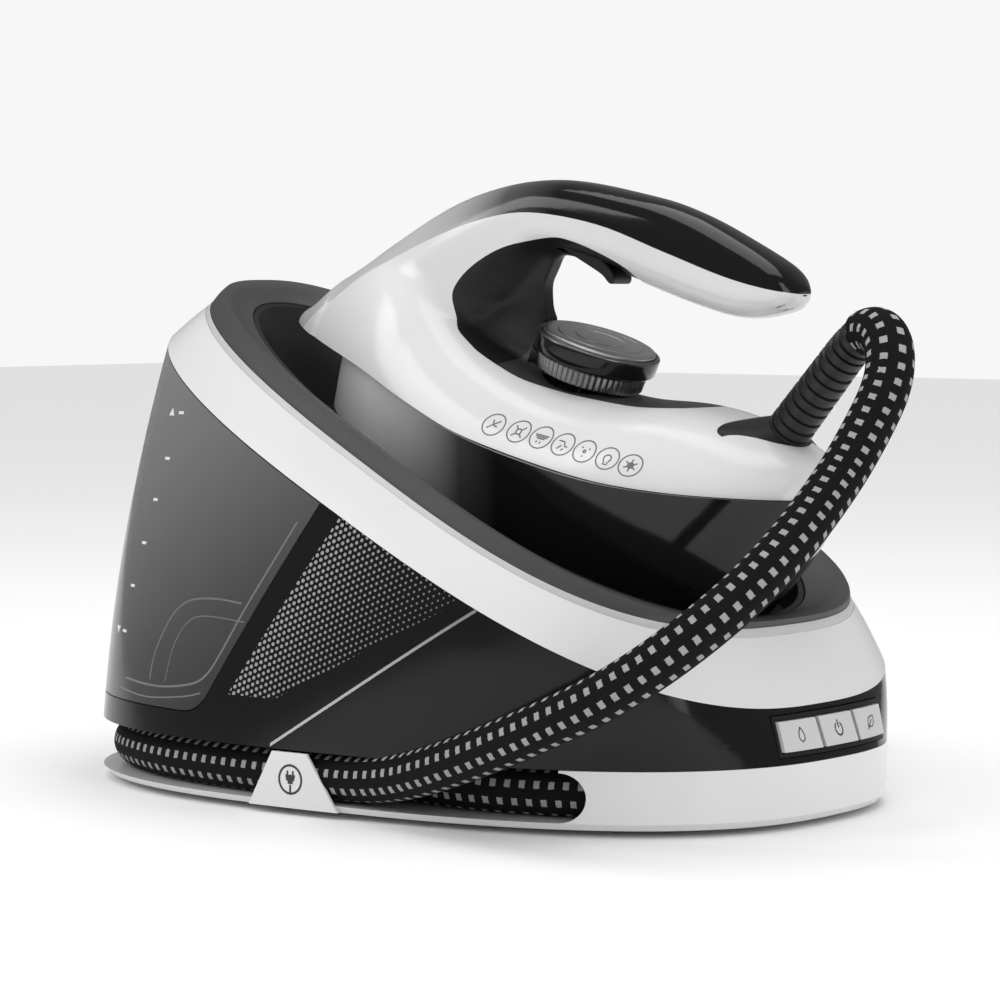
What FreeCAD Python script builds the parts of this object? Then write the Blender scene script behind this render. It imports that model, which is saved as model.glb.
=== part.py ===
import FreeCAD, Part
import math
import os

from FreeCAD import Placement, Rotation, Vector

# Steam generator iron: a base station with a water tank, and a hand iron resting on its sloping deck.
# Millimetres. +Z is up, +X is the end with the control panel, -X is the end with the water tank.
# The origin is on the floor, in the middle of the base.

# ---- base station: each rim is an inclined superellipse ------------------------------------------
# (centre x, centre z, half run in x, half drop in z, half width, squareness, taper)
FOOT_RIM = (0.0, 28.5, 190.0, 0.0, 130.7, 2.56, -0.077)
WAIST_RIM = (1.0, 80.0, 184.6, 40.0, 126.0, 2.62, 0.04)
BAND_RIM = (7.9, 131.0, 173.2, 80.1, 117.4, 2.68, 0.156)
DECK_RIM = (10.3, 157.1, 153.8, 73.1, 96.3, 2.70, 0.246)
TUB_RIM = (11.2, 156.7, 140.0, 66.5, 84.0, 2.20, 0.25)
TUB_FLOOR = (24.7, 122.3, 126.3, 50.5, 69.0, 2.60, 0.20)
CORE_RIM = (0.0, 28.0, 139.0, 0.0, 82.0, 2.30, -0.05)
OUTLINE_POINTS = 56

WALL = 3.0
PLATE = 2.5
GAP = 0.5
FLOOR_Z = 3.0
GROOVE_Z = 6.0
GROOVE_TOP = 28.2
GROOVE_END_X = 121.0

# ---- water tank bay: everything left of a slanted line and above a shelf -------------------------
SHELF_Z = 40.0
BAY_LOW = (-64.9, 40.0)
BAY_HIGH = (65.4, 240.0)
BAY_CORNER = 18.0
TANK_WALL = 2.4

# ---- control panel --------------------------------------------------------------------------------
PANEL_Z = 40.0
PANEL_Y = 5.0
PANEL_HALF_Y = 42.8
ACCENT_LOW = (-19.0, 29.2)
ACCENT_HIGH = (97.0, 99.5)
ACCENT_WIDTH = 1.3
PANEL_HALF_Z = 8.6
BUTTON_Y = (PANEL_Y - 28.0, PANEL_Y, PANEL_Y + 28.0)
BUTTON_SIZE = (25.6, 12.6)

# ---- hand iron: its own frame lies on the sole, tilted about Y ------------------------------------
SOLE_SLOPE = math.degrees(math.atan(0.4))
SOLE_ORIGIN = Vector(0.0, 0.0, 136.0)
SOLE_NOSE = -99.0
SOLE_HEEL = 150.8
SOLE_HALF = 58.0
SOLE_WIDEST = 58.0
SHELL_NOSE = -136.0
SHELL_HEEL = 173.0
SHELL_HALF = 61.0
DIAL_AT = (31.5, 89.1)
DIAL_TILT = 19.0
DIAL_RADIUS = 28.7
BOOT_AT = (157.0, 160.0)
BOOT_TIP = (194.0, -5.0, 199.5)

# ---- steam hose -----------------------------------------------------------------------------------
HOSE_R = 10.25
HOSE_Z = 16.6
OUTLET_AT = Vector(124.0, -86.5, 16.6)
OUTLET_AXIS = Vector(0.92, 0.39, 0.0)
OUTLET_R = 11.0

# ---- pieces inside the base -----------------------------------------------------------------------
BOILER_X = 30.0
BOILER_Z = 60.0
STEAM_PIPE = [(42.5, -89.0, 46.0), (60.0, -89.0, 46.0), (80.0, -70.0, 42.0), (130.0, -56.0, 36.0),
              (164.0, -52.0, 26.0), (166.0, -68.7, 16.6), (150.1, -75.4, 16.6)]
WATER_PIPE = [(-26.8, 0.0, 56.0), (-16.0, 0.0, 56.0), (-16.0, 0.0, 14.0), (60.0, 2.0, 14.0),
              (92.0, 2.0, 14.0), (108.0, -6.0, 29.0), (108.0, 7.7, 29.0)]
SCREW_SPOTS = [(x, y) for x in (-95.0, 0.0, 95.0) for y in (-58.0, 58.0)]
FOOT_SPOTS = [(x, y) for x in (-122.0, 128.0) for y in (-70.0, 70.0)]

# ---- tank flap ------------------------------------------------------------------------------------
FLAP_HINGE = (-175.0, 182.6)
FLAP_SKIN = 1.2


def power(value, exponent):
    return math.copysign(abs(value) ** exponent, value)


def closed_spline(points):
    curve = Part.BSplineCurve()
    curve.interpolate(points, PeriodicFlag=True)
    return Part.Wire([curve.toShape()])


def open_spline(points):
    curve = Part.BSplineCurve()
    curve.interpolate(points)
    return curve.toShape()


def rim_wire(rim, inset=0.0, lift=0.0):
    """The rim's outline, moved inward by inset and along its own normal by lift."""
    cx, cz, run, drop, half, square, taper = rim
    length = math.hypot(run, drop)
    along = (run / length, -drop / length)
    normal = (drop / length, run / length)
    points = []
    for i in range(OUTLINE_POINTS):
        angle = 2.0 * math.pi * (i + 0.5) / OUTLINE_POINTS
        u = power(math.cos(angle), 2.0 / square)
        v = power(math.sin(angle), 2.0 / square) * (1.0 + taper * u)
        reach = (length - inset) * u
        points.append(Vector(cx + along[0] * reach + normal[0] * lift,
                             (half - inset) * v,
                             cz + along[1] * reach + normal[1] * lift))
    return closed_spline(points)


def loft(wires):
    return Part.makeLoft(wires, True, False)


def station(inset=0.0, low=0.0, high=0.0):
    """The solid enclosed by the base's outer skin from the foot rim to the band rim."""
    return loft([rim_wire(FOOT_RIM, inset, low), rim_wire(WAIST_RIM, inset), rim_wire(BAND_RIM, inset, high)])


def prism_y(outline, half_width, corner=0.0, corner_at=None):
    """A flat outline of (x, z) points, extruded both ways along Y."""
    points = [Vector(x, -half_width, z) for x, z in outline]
    solid = Part.Face(Part.makePolygon(points + points[:1])).extrude(Vector(0, 2 * half_width, 0))
    if corner > 0.0:
        near = [e for e in solid.Edges if edge_is_at(e, corner_at)]
        solid = solid.makeFillet(corner, near)
    return solid


def edge_is_at(edge, spot):
    ends = [v.Point for v in edge.Vertexes]
    return len(ends) == 2 and all(abs(p.x - spot[0]) < 0.01 and abs(p.z - spot[1]) < 0.01 for p in ends)


def bay(grow):
    """The tank's room, with its slanted wall and shelf pushed out by grow."""
    side = grow * 1.19
    low = (BAY_LOW[0] + side - grow * 0.65, SHELF_Z - grow)
    high = (BAY_HIGH[0] + side, BAY_HIGH[1])
    outline = [low, high, (-260.0, BAY_HIGH[1]), (-260.0, low[1])]
    return prism_y(outline, 170.0, BAY_CORNER, low)


def box(x, y, z):
    """A box from three (low, high) pairs."""
    return Part.makeBox(x[1] - x[0], y[1] - y[0], z[1] - z[0], Vector(x[0], y[0], z[0]))


def rod(start, end, radius):
    start = Vector(*start)
    end = Vector(*end)
    return Part.makeCylinder(radius, (end - start).Length, start, end - start)


def ring(start, end, outer, inner):
    return rod(start, end, outer).cut(rod(start, end, inner))


def cone(start, end, radius_start, radius_end):
    start = Vector(*start)
    end = Vector(*end)
    return Part.makeCone(radius_start, radius_end, (end - start).Length, start, end - start)


def fuse(shapes):
    result = shapes[0]
    for shape in shapes[1:]:
        result = result.fuse(shape)
    return result.removeSplitter()


def largest(shape):
    return max(shape.Solids, key=lambda solid: solid.Volume)


def group(shapes):
    return Part.makeCompound(shapes)


def tilt(shape):
    """Moves a shape from the iron's own frame to where the iron rests."""
    moved = shape.copy()
    moved.Placement = Placement(SOLE_ORIGIN, Rotation(Vector(0, 1, 0), SOLE_SLOPE)).multiply(moved.Placement)
    return moved


def tilted_point(s, h):
    turn = math.radians(SOLE_SLOPE)
    return (s * math.cos(turn) + h * math.sin(turn), 0.0,
            SOLE_ORIGIN.z - s * math.sin(turn) + h * math.cos(turn))


# ---- base station ---------------------------------------------------------------------------------

def tub_solid(grow=0.0):
    return loft([rim_wire(TUB_FLOOR, -grow, -grow), rim_wire(TUB_RIM, -grow, -3.2)])


def base_pan():
    plate = loft([rim_wire(FOOT_RIM, 2.5, FLOOR_Z - FOOT_RIM[1]), rim_wire(FOOT_RIM, 0.0, GROOVE_Z - FOOT_RIM[1])])
    top = GROOVE_TOP - FOOT_RIM[1]
    low = GROOVE_Z - FOOT_RIM[1]
    front = loft([rim_wire(FOOT_RIM, 0.0, low), rim_wire(FOOT_RIM, 0.0, top)])
    front = front.common(box((GROOVE_END_X, 200), (-200, 200), (0, 60)))
    middle = HOSE_Z
    for y in (-112.0, 72.0):
        front = front.cut(rod((GROOVE_END_X, y, middle), (GROOVE_END_X, y + 40.0, middle), 10.55))
    core = loft([rim_wire(CORE_RIM, 0.0, GROOVE_Z - CORE_RIM[1]), rim_wire(CORE_RIM, 0.0, GROOVE_TOP - CORE_RIM[1])])
    core = core.fuse(box((110.0, GROOVE_END_X + 1.0), (-70.0, 70.0), (GROOVE_Z, GROOVE_TOP)))
    front_room = loft([rim_wire(FOOT_RIM, WALL, low + WALL), rim_wire(FOOT_RIM, WALL, top + 1.0)])
    front_room = front_room.common(box((GROOVE_END_X + 13.5, 200), (-200, 200), (0, 60)))
    core_room = loft([rim_wire(CORE_RIM, WALL, GROOVE_Z + WALL - CORE_RIM[1]), rim_wire(CORE_RIM, WALL, 1.0)])
    door = box((120.0, GROOVE_END_X + 15.0), (-66.0, 66.0), (GROOVE_Z + WALL, GROOVE_TOP + 1.0))
    pan = plate.fuse(front).fuse(core)
    pan = pan.cut(front_room).cut(core_room).cut(door)
    pan = pan.cut(outlet_rod(-3.0, 19.0, OUTLET_R + 0.3)).cut(outlet_rod(18.0, 36.0, 6.3))
    for x, y in SCREW_SPOTS:
        pan = pan.cut(rod((x, y, FLOOR_Z - 1.0), (x, y, FLOOR_Z + 2.8), 4.3)).cut(rod((x, y, 5.0), (x, y, 14.0), 2.0))
    for x, y in FOOT_SPOTS:
        pan = pan.cut(rod((x, y, FLOOR_Z - 1.0), (x, y, FLOOR_Z + 1.6), 10.2))
    return pan.removeSplitter()


def outlet_rod(start, end, radius):
    axis = Vector(OUTLET_AXIS).normalize()
    return rod(OUTLET_AT + axis * start, OUTLET_AT + axis * end, radius)


def hose_clip_tab():
    outline = [(-31.0, 3.2), (18.6, 3.2), (1.8, GROOVE_TOP - 0.6), (-17.4, GROOVE_TOP - 0.6)]
    slab = prism_y(outline, 140.0)
    skin = loft([rim_wire(FOOT_RIM, -0.9, FLOOR_Z - FOOT_RIM[1]), rim_wire(FOOT_RIM, -0.9, 0.0)])
    back = loft([rim_wire(FOOT_RIM, 0.4, 2.0 - FOOT_RIM[1]), rim_wire(FOOT_RIM, 0.4, 1.0)])
    tab = slab.common(skin).cut(back).common(box((-60, 30), (-150, 0), (0, 40)))
    for first, last in (HOSE_ROUTE[30:32], HOSE_ROUTE[31:33]):
        tab = tab.cut(rod(first, last, HOSE_R + 0.6))
    return tab


def tank_stub_room(radius):
    return rod((-75.0, 0.0, 56.0), (-30.0, 0.0, 56.0), radius)


def housing_shell():
    skin = station().cut(station(WALL, -1.0, 1.0))
    skin = skin.cut(bay(0.0))
    wall = station(0.2).common(bay(PLATE).cut(bay(0.0)))
    shell = skin.fuse(wall)
    shell = shell.cut(tub_solid(PLATE + 1.0))
    shell = shell.cut(tank_stub_room(6.2))
    shell = shell.cut(panel_block(0.4))
    shell = shell.cut(rod((112.0, 90.0, 46.0), (112.0, 130.0, 46.0), 8.3))
    return shell.removeSplitter()


def accent_strips():
    skin = station(-0.3).cut(station(0.05))
    slope = (ACCENT_HIGH[1] - ACCENT_LOW[1]) / (ACCENT_HIGH[0] - ACCENT_LOW[0])
    rise = ACCENT_WIDTH * math.hypot(1.0, slope)
    outline = [ACCENT_LOW, ACCENT_HIGH, (ACCENT_HIGH[0], ACCENT_HIGH[1] + rise), (ACCENT_LOW[0], ACCENT_LOW[1] + rise)]
    return skin.common(prism_y(outline, 150.0))


def panel_block(grow):
    z = (PANEL_Z - PANEL_HALF_Z - grow, PANEL_Z + PANEL_HALF_Z + grow)
    return box((150.0, 200.0), (PANEL_Y - PANEL_HALF_Y - grow, PANEL_Y + PANEL_HALF_Y + grow), z)


def button_block(y, grow):
    half_y = BUTTON_SIZE[0] / 2.0 + grow
    half_z = BUTTON_SIZE[1] / 2.0 + grow
    return box((150.0, 200.0), (y - half_y, y + half_y), (PANEL_Z - half_z, PANEL_Z + half_z))


def panel_bezel():
    plate = station(-0.4, -1.0, 1.0).cut(station(3.0, -2.0, 2.0)).common(panel_block(0.0))
    for y in BUTTON_Y:
        plate = plate.cut(button_block(y, 0.45))
    return plate


def button(y):
    face = station(-1.8, -1.0, 1.0).cut(station(1.6, -2.0, 2.0)).common(button_block(y, 0.0))
    stem = rod((178.0, y, PANEL_Z), (184.6, y, PANEL_Z), 2.5)
    return face.fuse(stem)


def top_ring():
    outer = loft([rim_wire(BAND_RIM, 0.0, 0.2), rim_wire(DECK_RIM)])
    inner = loft([rim_wire(BAND_RIM, WALL, -0.5), rim_wire(DECK_RIM, 6.0, 0.5)])
    return outer.cut(inner)


def ring_trim():
    outer = loft([rim_wire(DECK_RIM, 6.3, -3.0), rim_wire(DECK_RIM, 6.3, 0.0)])
    inner = loft([rim_wire(DECK_RIM, 10.5, -3.2), rim_wire(DECK_RIM, 9.0, 0.2)])
    return outer.cut(inner)


def rest_deck():
    plate = loft([rim_wire(DECK_RIM, 7.4, -6.2), rim_wire(DECK_RIM, 7.4, -3.2)])
    return plate.cut(loft([rim_wire(TUB_RIM, -PLATE - 0.5, -7.0), rim_wire(TUB_RIM, -PLATE - 0.5, -2.5)]))


def rest_tub():
    outer = tub_solid(PLATE)
    inner = loft([rim_wire(TUB_FLOOR, 0.0, 0.0), rim_wire(TUB_RIM, 0.0, -3.0)])
    return outer.cut(inner)


def rest_pads():
    pads = []
    for s, y in ((-70.0, 0.0), (20.0, -38.0), (20.0, 38.0), (118.0, -30.0), (118.0, 30.0)):
        pads.append(tilt(rod((s, y, -3.4), (s, y, -0.35), 8.0)))
    return group(pads)


def tank_seat():
    tube = ring((-42.5, 0.0, 56.0), (-30.0, 0.0, 56.0), 10.0, 6.0)
    cap = ring((-30.0, 0.0, 56.0), (-27.0, 0.0, 56.0), 10.0, 3.0)
    return tube.fuse(cap)


def boiler():
    body = rod((BOILER_X, -58.0, BOILER_Z), (BOILER_X, 58.0, BOILER_Z), 38.0)
    rounded = body.makeFillet(12.0, [e for e in body.Edges if e.Closed])
    hollow = rod((BOILER_X, -55.0, BOILER_Z), (BOILER_X, 55.0, BOILER_Z), 35.5)
    return rounded.cut(hollow.makeFillet(10.0, [e for e in hollow.Edges if e.Closed]))


def boiler_heater():
    flange = rod((BOILER_X, -58.2, 48.0), (BOILER_X, -62.0, 48.0), 13.0)
    nut = rod((BOILER_X, -62.0, 48.0), (BOILER_X, -66.0, 48.0), 9.0)
    terminals = [rod((BOILER_X + x, -66.0, 48.0), (BOILER_X + x, -74.0, 48.0), 1.6) for x in (-4.5, 4.5)]
    return fuse([flange, nut] + terminals)


def boiler_bracket():
    saddles = []
    for y in (-40.0, 40.0):
        block = box((BOILER_X - 26.0, BOILER_X + 26.0), (y - 5.0, y + 5.0), (GROOVE_Z + WALL, 42.0))
        saddles.append(block.cut(rod((BOILER_X, y - 6.0, BOILER_Z), (BOILER_X, y + 6.0, BOILER_Z), 38.2)))
    return group(saddles)


def boiler_thermostat():
    puck = rod((BOILER_X, 20.0, BOILER_Z + 38.3), (BOILER_X, 20.0, BOILER_Z + 46.0), 8.5)
    tab = box((BOILER_X - 2.0, BOILER_X + 2.0), (15.0, 25.0), (BOILER_Z + 46.0, BOILER_Z + 51.0))
    return puck.fuse(tab)


def pump():
    coil = box((97.0, 119.0), (14.0, 38.0), (15.0, 43.0))
    inlet = rod((108.0, 8.0, 29.0), (108.0, 14.0, 29.0), 5.0)
    body = rod((108.0, 38.0, 35.0), (108.0, 48.0, 35.0), 6.0)
    return fuse([coil, inlet, body])


def solenoid_valve():
    block = box((20.0, 42.0), (-98.0, -80.0), (40.0, 58.0))
    coil = rod((31.0, -89.0, 58.0), (31.0, -89.0, 84.0), 11.0)
    return block.fuse(coil)


def bent_pipe(points, radius, bend):
    """A pipe of straight runs joined by tangent arcs of one bend radius."""
    return sweep_circle(rounded_path(points, [bend] * (len(points) - 2)), radius)


def control_board():
    return box((163.0, 164.6), (-44.0, 44.0), (30.5, 49.5))


def button_switches():
    return group([box((165.0, 176.5), (y - 4.0, y + 4.0), (PANEL_Z - 4.0, PANEL_Z + 4.0)) for y in BUTTON_Y])


def feet():
    return group([cone((x, y, 0.0), (x, y, FLOOR_Z + 1.5), 10.0, 8.5) for x, y in FOOT_SPOTS])


def base_screws():
    screws = []
    for x, y in SCREW_SPOTS:
        head = rod((x, y, FLOOR_Z + 0.4), (x, y, FLOOR_Z + 2.6), 4.0)
        slot = box((x - 3.0, x + 3.0), (y - 0.5, y + 0.5), (FLOOR_Z, FLOOR_Z + 1.2))
        shank = rod((x, y, FLOOR_Z + 2.6), (x, y, 13.0), 1.8)
        screws.append(head.fuse(shank).cut(slot))
    return group(screws)


def hose_outlet():
    body = outlet_rod(0.0, 18.0, OUTLET_R)
    stub = outlet_rod(18.0, 28.0, 6.0)
    return body.fuse(stub).cut(outlet_rod(-1.0, 30.0, 4.0))


def mains_gland():
    flange = ring((112.0, 115.6, 46.0), (112.0, 118.6, 46.0), 11.0, 4.0)
    body = ring((112.0, 98.0, 46.0), (112.0, 115.6, 46.0), 8.0, 4.0)
    tail = ring((112.0, 118.6, 46.0), (112.0, 125.0, 46.0), 6.5, 4.0)
    return fuse([flange, body, tail])


# ---- water tank -----------------------------------------------------------------------------------

def flap_block(grow):
    y = (-22.0 - grow, 22.0 + grow)
    return box((-230.0, -140.0), y, (152.0 - grow, 181.0 + grow))


def water_tank():
    outer = station(0.0, 0.0, -GAP).common(bay(-GAP)).cut(tub_solid(PLATE + 1.5))
    inner = station(TANK_WALL, 0.0, -GAP - TANK_WALL).common(bay(-GAP - TANK_WALL))
    inner = inner.cut(tub_solid(PLATE + 1.5 + TANK_WALL))
    tank = outer.cut(inner)
    tank = tank.cut(flap_block(0.4).cut(station(FLAP_SKIN + 0.1)))
    tank = tank.cut(box((-230.0, -150.0), (-18.0, 18.0), (155.5, 177.5)))
    x, z = FLAP_HINGE
    for y in (-14.0, 10.2):
        arm = box((x - 1.9, x + 1.6), (y, y + 3.8), (z - 1.9, z + 3.4))
        root = box((x - 1.9, x + 4.6), (y, y + 3.8), (z + 1.6, z + 3.4))
        tank = tank.fuse(arm.fuse(root))
    tank = tank.cut(rod((x, -10.15, z), (x, 10.15, z), 2.3))
    tank = tank.cut(rod((x, -20.0, z), (x, 20.0, z), 1.0))
    return tank.cut(tank_stub_room(5.0)).removeSplitter()


def tank_flap():
    skin = station(0.0).cut(station(FLAP_SKIN))
    lid = skin.common(flap_block(0.0))
    lip = station(-2.6).cut(station(0.3)).common(box((-230.0, -140.0), (-12.0, 12.0), (152.2, 156.0)))
    x, z = FLAP_HINGE
    knuckle = rod((x, -9.8, z), (x, 9.8, z), 1.9)
    web = box((x - 0.8, x + 3.2), (-9.8, 9.8), (z - 4.4, z - 1.6)).cut(station(FLAP_SKIN))
    return fuse([lid, lip, knuckle, web]).cut(rod((x, -20.0, z), (x, 20.0, z), 1.0))


def tank_flap_pin():
    x, z = FLAP_HINGE
    return rod((x, -14.0, z), (x, 14.0, z), 0.9)


def tank_valve():
    stub = rod((-74.0, 0.0, 56.0), (-36.0, 0.0, 56.0), 4.8)
    flange = rod((-72.0, 0.0, 56.0), (-68.0, 0.0, 56.0), 9.0)
    return stub.fuse(flange)


def tank_seal():
    return ring((-41.0, 0.0, 56.0), (-38.0, 0.0, 56.0), 5.7, 4.8)


def tank_filter():
    wall = ring((-92.0, 0.0, 43.4), (-92.0, 0.0, 66.0), 17.0, 15.0)
    dome = Part.makeSphere(17.0, Vector(-92.0, 0.0, 66.0)).cut(Part.makeSphere(15.0, Vector(-92.0, 0.0, 66.0)))
    dome = dome.common(box((-120.0, -60.0), (-20.0, 20.0), (66.0, 90.0)))
    return wall.fuse(dome)


# ---- hand iron, in its own frame (s along the sole towards the heel, h up from the sole) -----------

def egg_wire(widest, nose, heel, half, height, square=2.5, sharp=1.2):
    """Plan outline with a pointed nose and a blunt heel."""
    points = []
    for i in range(OUTLINE_POINTS):
        angle = 2.0 * math.pi * (i + 0.5) / OUTLINE_POINTS
        c = math.cos(angle)
        s = math.sin(angle)
        if c >= 0.0:
            x = widest + (heel - widest) * c ** (2.0 / square)
            y = half * power(s, 2.0 / square)
        else:
            x = widest - (widest - nose) * abs(c)
            y = half * power(s, sharp)
        points.append(Vector(x, y, height))
    return closed_spline(points)


def egg_half_width(s):
    """Half width of the shell's plan outline at s."""
    if s > SOLE_WIDEST:
        u = min((s - SOLE_WIDEST) / (SHELL_HEEL + 1.0 - SOLE_WIDEST), 1.0)
        return SHELL_HALF * (1.0 - u ** 2.8) ** (1.0 / 2.8)
    u = min((SOLE_WIDEST - s) / (SOLE_WIDEST - SHELL_NOSE), 1.0)
    return SHELL_HALF * (1.0 - u * u) ** 0.6


SEAM_LINE = [(-150.0, 29.0), (-110.0, 33.5), (-64.6, 37.0), (-28.0, 35.8), (0.0, 35.2), (21.0, 36.4),
             (56.0, 40.7), (89.0, 46.4), (120.0, 54.6), (150.0, 64.3), (178.0, 74.0), (200.0, 82.0)]
SHELL_TOPS = [(-134.0, 35.5), (-122.0, 46.0), (-107.0, 66.0), (-93.0, 80.0), (-76.0, 88.0), (-57.0, 86.0),
              (-37.0, 76.0), (-10.0, 68.0), (31.0, 67.0), (60.0, 72.0), (90.0, 82.0), (112.0, 86.5),
              (132.0, 87.5), (150.0, 87.0), (163.0, 84.0), (171.0, 76.0)]
# grip stations: (outer s, outer h, inner s, inner h, half width)
GRIP = [(-107.0, 66.0, -48.0, 52.0, 24.0), (-90.0, 88.0, -22.0, 76.0, 24.0), (-56.6, 122.7, -9.0, 100.0, 22.0),
        (-16.5, 146.3, -3.9, 114.8, 20.0), (33.0, 157.7, 31.6, 120.3, 19.0), (61.8, 160.4, 76.7, 123.3, 18.5),
        (90.4, 158.9, 103.1, 127.4, 17.5), (113.0, 156.0, 121.0, 137.0, 14.5), (125.5, 150.5, 126.5, 144.0, 5.0)]
COVER_LINE = [(-122.0, 28.0), (-101.0, 56.0), (-85.0, 77.0), (-62.0, 99.0), (-38.0, 118.0), (-13.0, 131.5),
              (24.0, 140.0), (62.0, 142.0), (100.0, 144.0), (135.0, 149.5)]
INSERT_OUTLINE = [(-24.0, 68.0), (-34.0, 84.0), (-30.0, 100.0), (-20.0, 113.0), (-4.0, 120.0), (-3.5, 110.0),
                  (-7.0, 98.0), (0.0, 88.0), (14.0, 78.0), (8.0, 68.0)]


def below_line(line, floor):
    """Prism under an open curve of (s, h) points, down to floor."""
    curve = open_spline([Vector(s, -90.0, h) for s, h in line])
    first = Vector(line[0][0], -90.0, line[0][1])
    last = Vector(line[-1][0], -90.0, line[-1][1])
    corner_last = Vector(last.x, -90.0, floor)
    corner_first = Vector(first.x, -90.0, floor)
    edges = [curve, Part.makeLine(last, corner_last), Part.makeLine(corner_last, corner_first),
             Part.makeLine(corner_first, first)]
    return Part.Face(Part.Wire(edges)).extrude(Vector(0, 180.0, 0))


def raised(line, step):
    return [(s, h + step) for s, h in line]


def soleplate():
    plate = loft([egg_wire(SOLE_WIDEST, SOLE_NOSE, SOLE_HEEL, SOLE_HALF, 0.0),
                  egg_wire(SOLE_WIDEST, SOLE_NOSE - 1.0, SOLE_HEEL + 1.0, SOLE_HALF + 0.8, 4.5)])
    holes = []
    for row in range(9):
        s = -62.0 + 20.0 * row
        reach = 0.62 * SHELL_HALF * (1.0 - ((SOLE_WIDEST - s) / 190.0) ** 2) ** 0.6 if s < SOLE_WIDEST else 36.0
        for side in (-1.0, 1.0):
            holes.append(rod((s, side * reach, -1.0), (s, side * reach, 3.2), 1.6))
    return tilt(plate.cut(group(holes)))


def steam_chamber():
    slab = loft([egg_wire(SOLE_WIDEST, SOLE_NOSE + 10.0, SOLE_HEEL - 8.0, SOLE_HALF - 7.0, 4.8),
                 egg_wire(SOLE_WIDEST, SOLE_NOSE + 16.0, SOLE_HEEL - 12.0, SOLE_HALF - 12.0, 20.0)])
    room = loft([egg_wire(SOLE_WIDEST, SOLE_NOSE + 40.0, SOLE_HEEL - 40.0, SOLE_HALF - 28.0, 12.0),
                 egg_wire(SOLE_WIDEST, SOLE_NOSE + 42.0, SOLE_HEEL - 42.0, SOLE_HALF - 30.0, 21.0)])
    return tilt(slab.cut(room))


def skirt_solid(inset):
    return loft([egg_wire(SOLE_WIDEST, SOLE_NOSE - 1.0 + inset, SOLE_HEEL + 1.0 - inset, SOLE_HALF + 0.8 - inset, 4.8),
                 egg_wire(SOLE_WIDEST, SOLE_NOSE - 5.0 + inset, SOLE_HEEL + 12.0 - inset, 60.3 - inset, 34.0),
                 egg_wire(SOLE_WIDEST, SOLE_NOSE - 9.0 + inset, SHELL_HEEL - inset, 60.6 - inset, 84.0)])


def iron_skirt():
    solid = skirt_solid(0.0).common(below_line(SEAM_LINE, -20.0))
    room = skirt_solid(PLATE).common(below_line(raised(SEAM_LINE, 1.0), -20.0))
    return tilt(solid.cut(room))


def dome_wire(s, inset, grow):
    """Upright cross-section of the body at s: flat bottom, arched sides and top."""
    half = max(egg_half_width(s) - inset, 1.0)
    top = line_value(SHELL_TOPS, s) - inset
    bottom = 12.0 if s > SOLE_NOSE - 6.0 else 28.0
    bottom -= grow
    count = 17
    points = []
    for i in range(count):
        angle = math.pi * i / (count - 1)
        points.append(Vector(s, half * power(math.cos(angle), 0.8),
                             bottom + (top - bottom) * math.sin(angle) ** 0.8))
    return Part.Wire([open_spline(points), Part.makeLine(points[-1], points[0])])


def line_value(line, s):
    for (s0, h0), (s1, h1) in zip(line, line[1:]):
        if s0 <= s <= s1:
            return h0 + (h1 - h0) * (s - s0) / (s1 - s0)
    return line[-1][1]


def dome_solid(inset=0.0, grow=0.0):
    nose = [s for s, h in SHELL_TOPS]
    return loft([dome_wire(s, inset, grow) for s in nose])


def grip_wire(stage, inset=0.0):
    s0, h0, s1, h1, half = stage
    centre = Vector((s0 + s1) / 2.0, 0.0, (h0 + h1) / 2.0)
    axis = Vector(s0 - s1, 0.0, h0 - h1)
    reach = max(axis.Length / 2.0 - inset, 1.0)
    axis.normalize()
    points = []
    for i in range(28):
        angle = 2.0 * math.pi * i / 28
        points.append(centre + axis * (reach * power(math.cos(angle), 0.9))
                      + Vector(0, max(half - inset, 1.0) * power(math.sin(angle), 0.9), 0))
    return closed_spline(points)


def grip_solid(inset=0.0):
    return loft([grip_wire(stage, inset) for stage in GRIP])


def insert_prism(half_width, grow=0.0):
    count = len(INSERT_OUTLINE)
    points = []
    for i, (s, h) in enumerate(INSERT_OUTLINE):
        s0, h0 = INSERT_OUTLINE[i - 1]
        s1, h1 = INSERT_OUTLINE[(i + 1) % count]
        run = math.hypot(s1 - s0, h1 - h0)
        points.append(Vector(s - grow * (h1 - h0) / run, -half_width, h + grow * (s1 - s0) / run))
    return Part.Face(closed_spline(points)).extrude(Vector(0, 2.0 * half_width, 0))


def cover_line_solid(step):
    return below_line(raised(COVER_LINE, step), -40.0)


def dial_room(radius, height):
    at = tilted_point(*DIAL_AT)
    turn = math.radians(DIAL_TILT)
    axis = Vector(math.sin(turn), 0.0, math.cos(turn))
    base = Vector(*at) - axis * height
    return Part.makeCylinder(radius, height + 1.0, base, axis)


def iron_shell():
    body = dome_solid().cut(below_line(raised(SEAM_LINE, 0.25), -30.0))
    room = dome_solid(PLATE, 6.0)
    body = body.cut(room).cut(insert_prism(75.0, 0.3))
    grip = grip_solid().cut(dome_solid(PLATE + 0.1))
    grip = grip.common(cover_line_solid(-0.2))
    grip = grip.cut(grip_solid(3.5)).cut(insert_prism(75.0, 0.3))
    shell = body.fuse([grip], 0.01)
    shell = shell.cut(trigger_pocket())
    shell = tilt(shell)
    shell = shell.cut(dial_room(21.0, 40.0))
    return shell.cut(gland_room(0.3)).cut(dial_sweep()).removeSplitter()


def handle_cover():
    cover = grip_solid().cut(cover_line_solid(0.2)).cut(grip_solid(3.0))
    cover = cover.cut(insert_prism(90.0, 0.3)).cut(dome_solid(-0.3))
    return tilt(largest(cover))


def handle_insert():
    return tilt(insert_prism(13.5).cut(trigger_pocket())).cut(dial_sweep())


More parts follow.
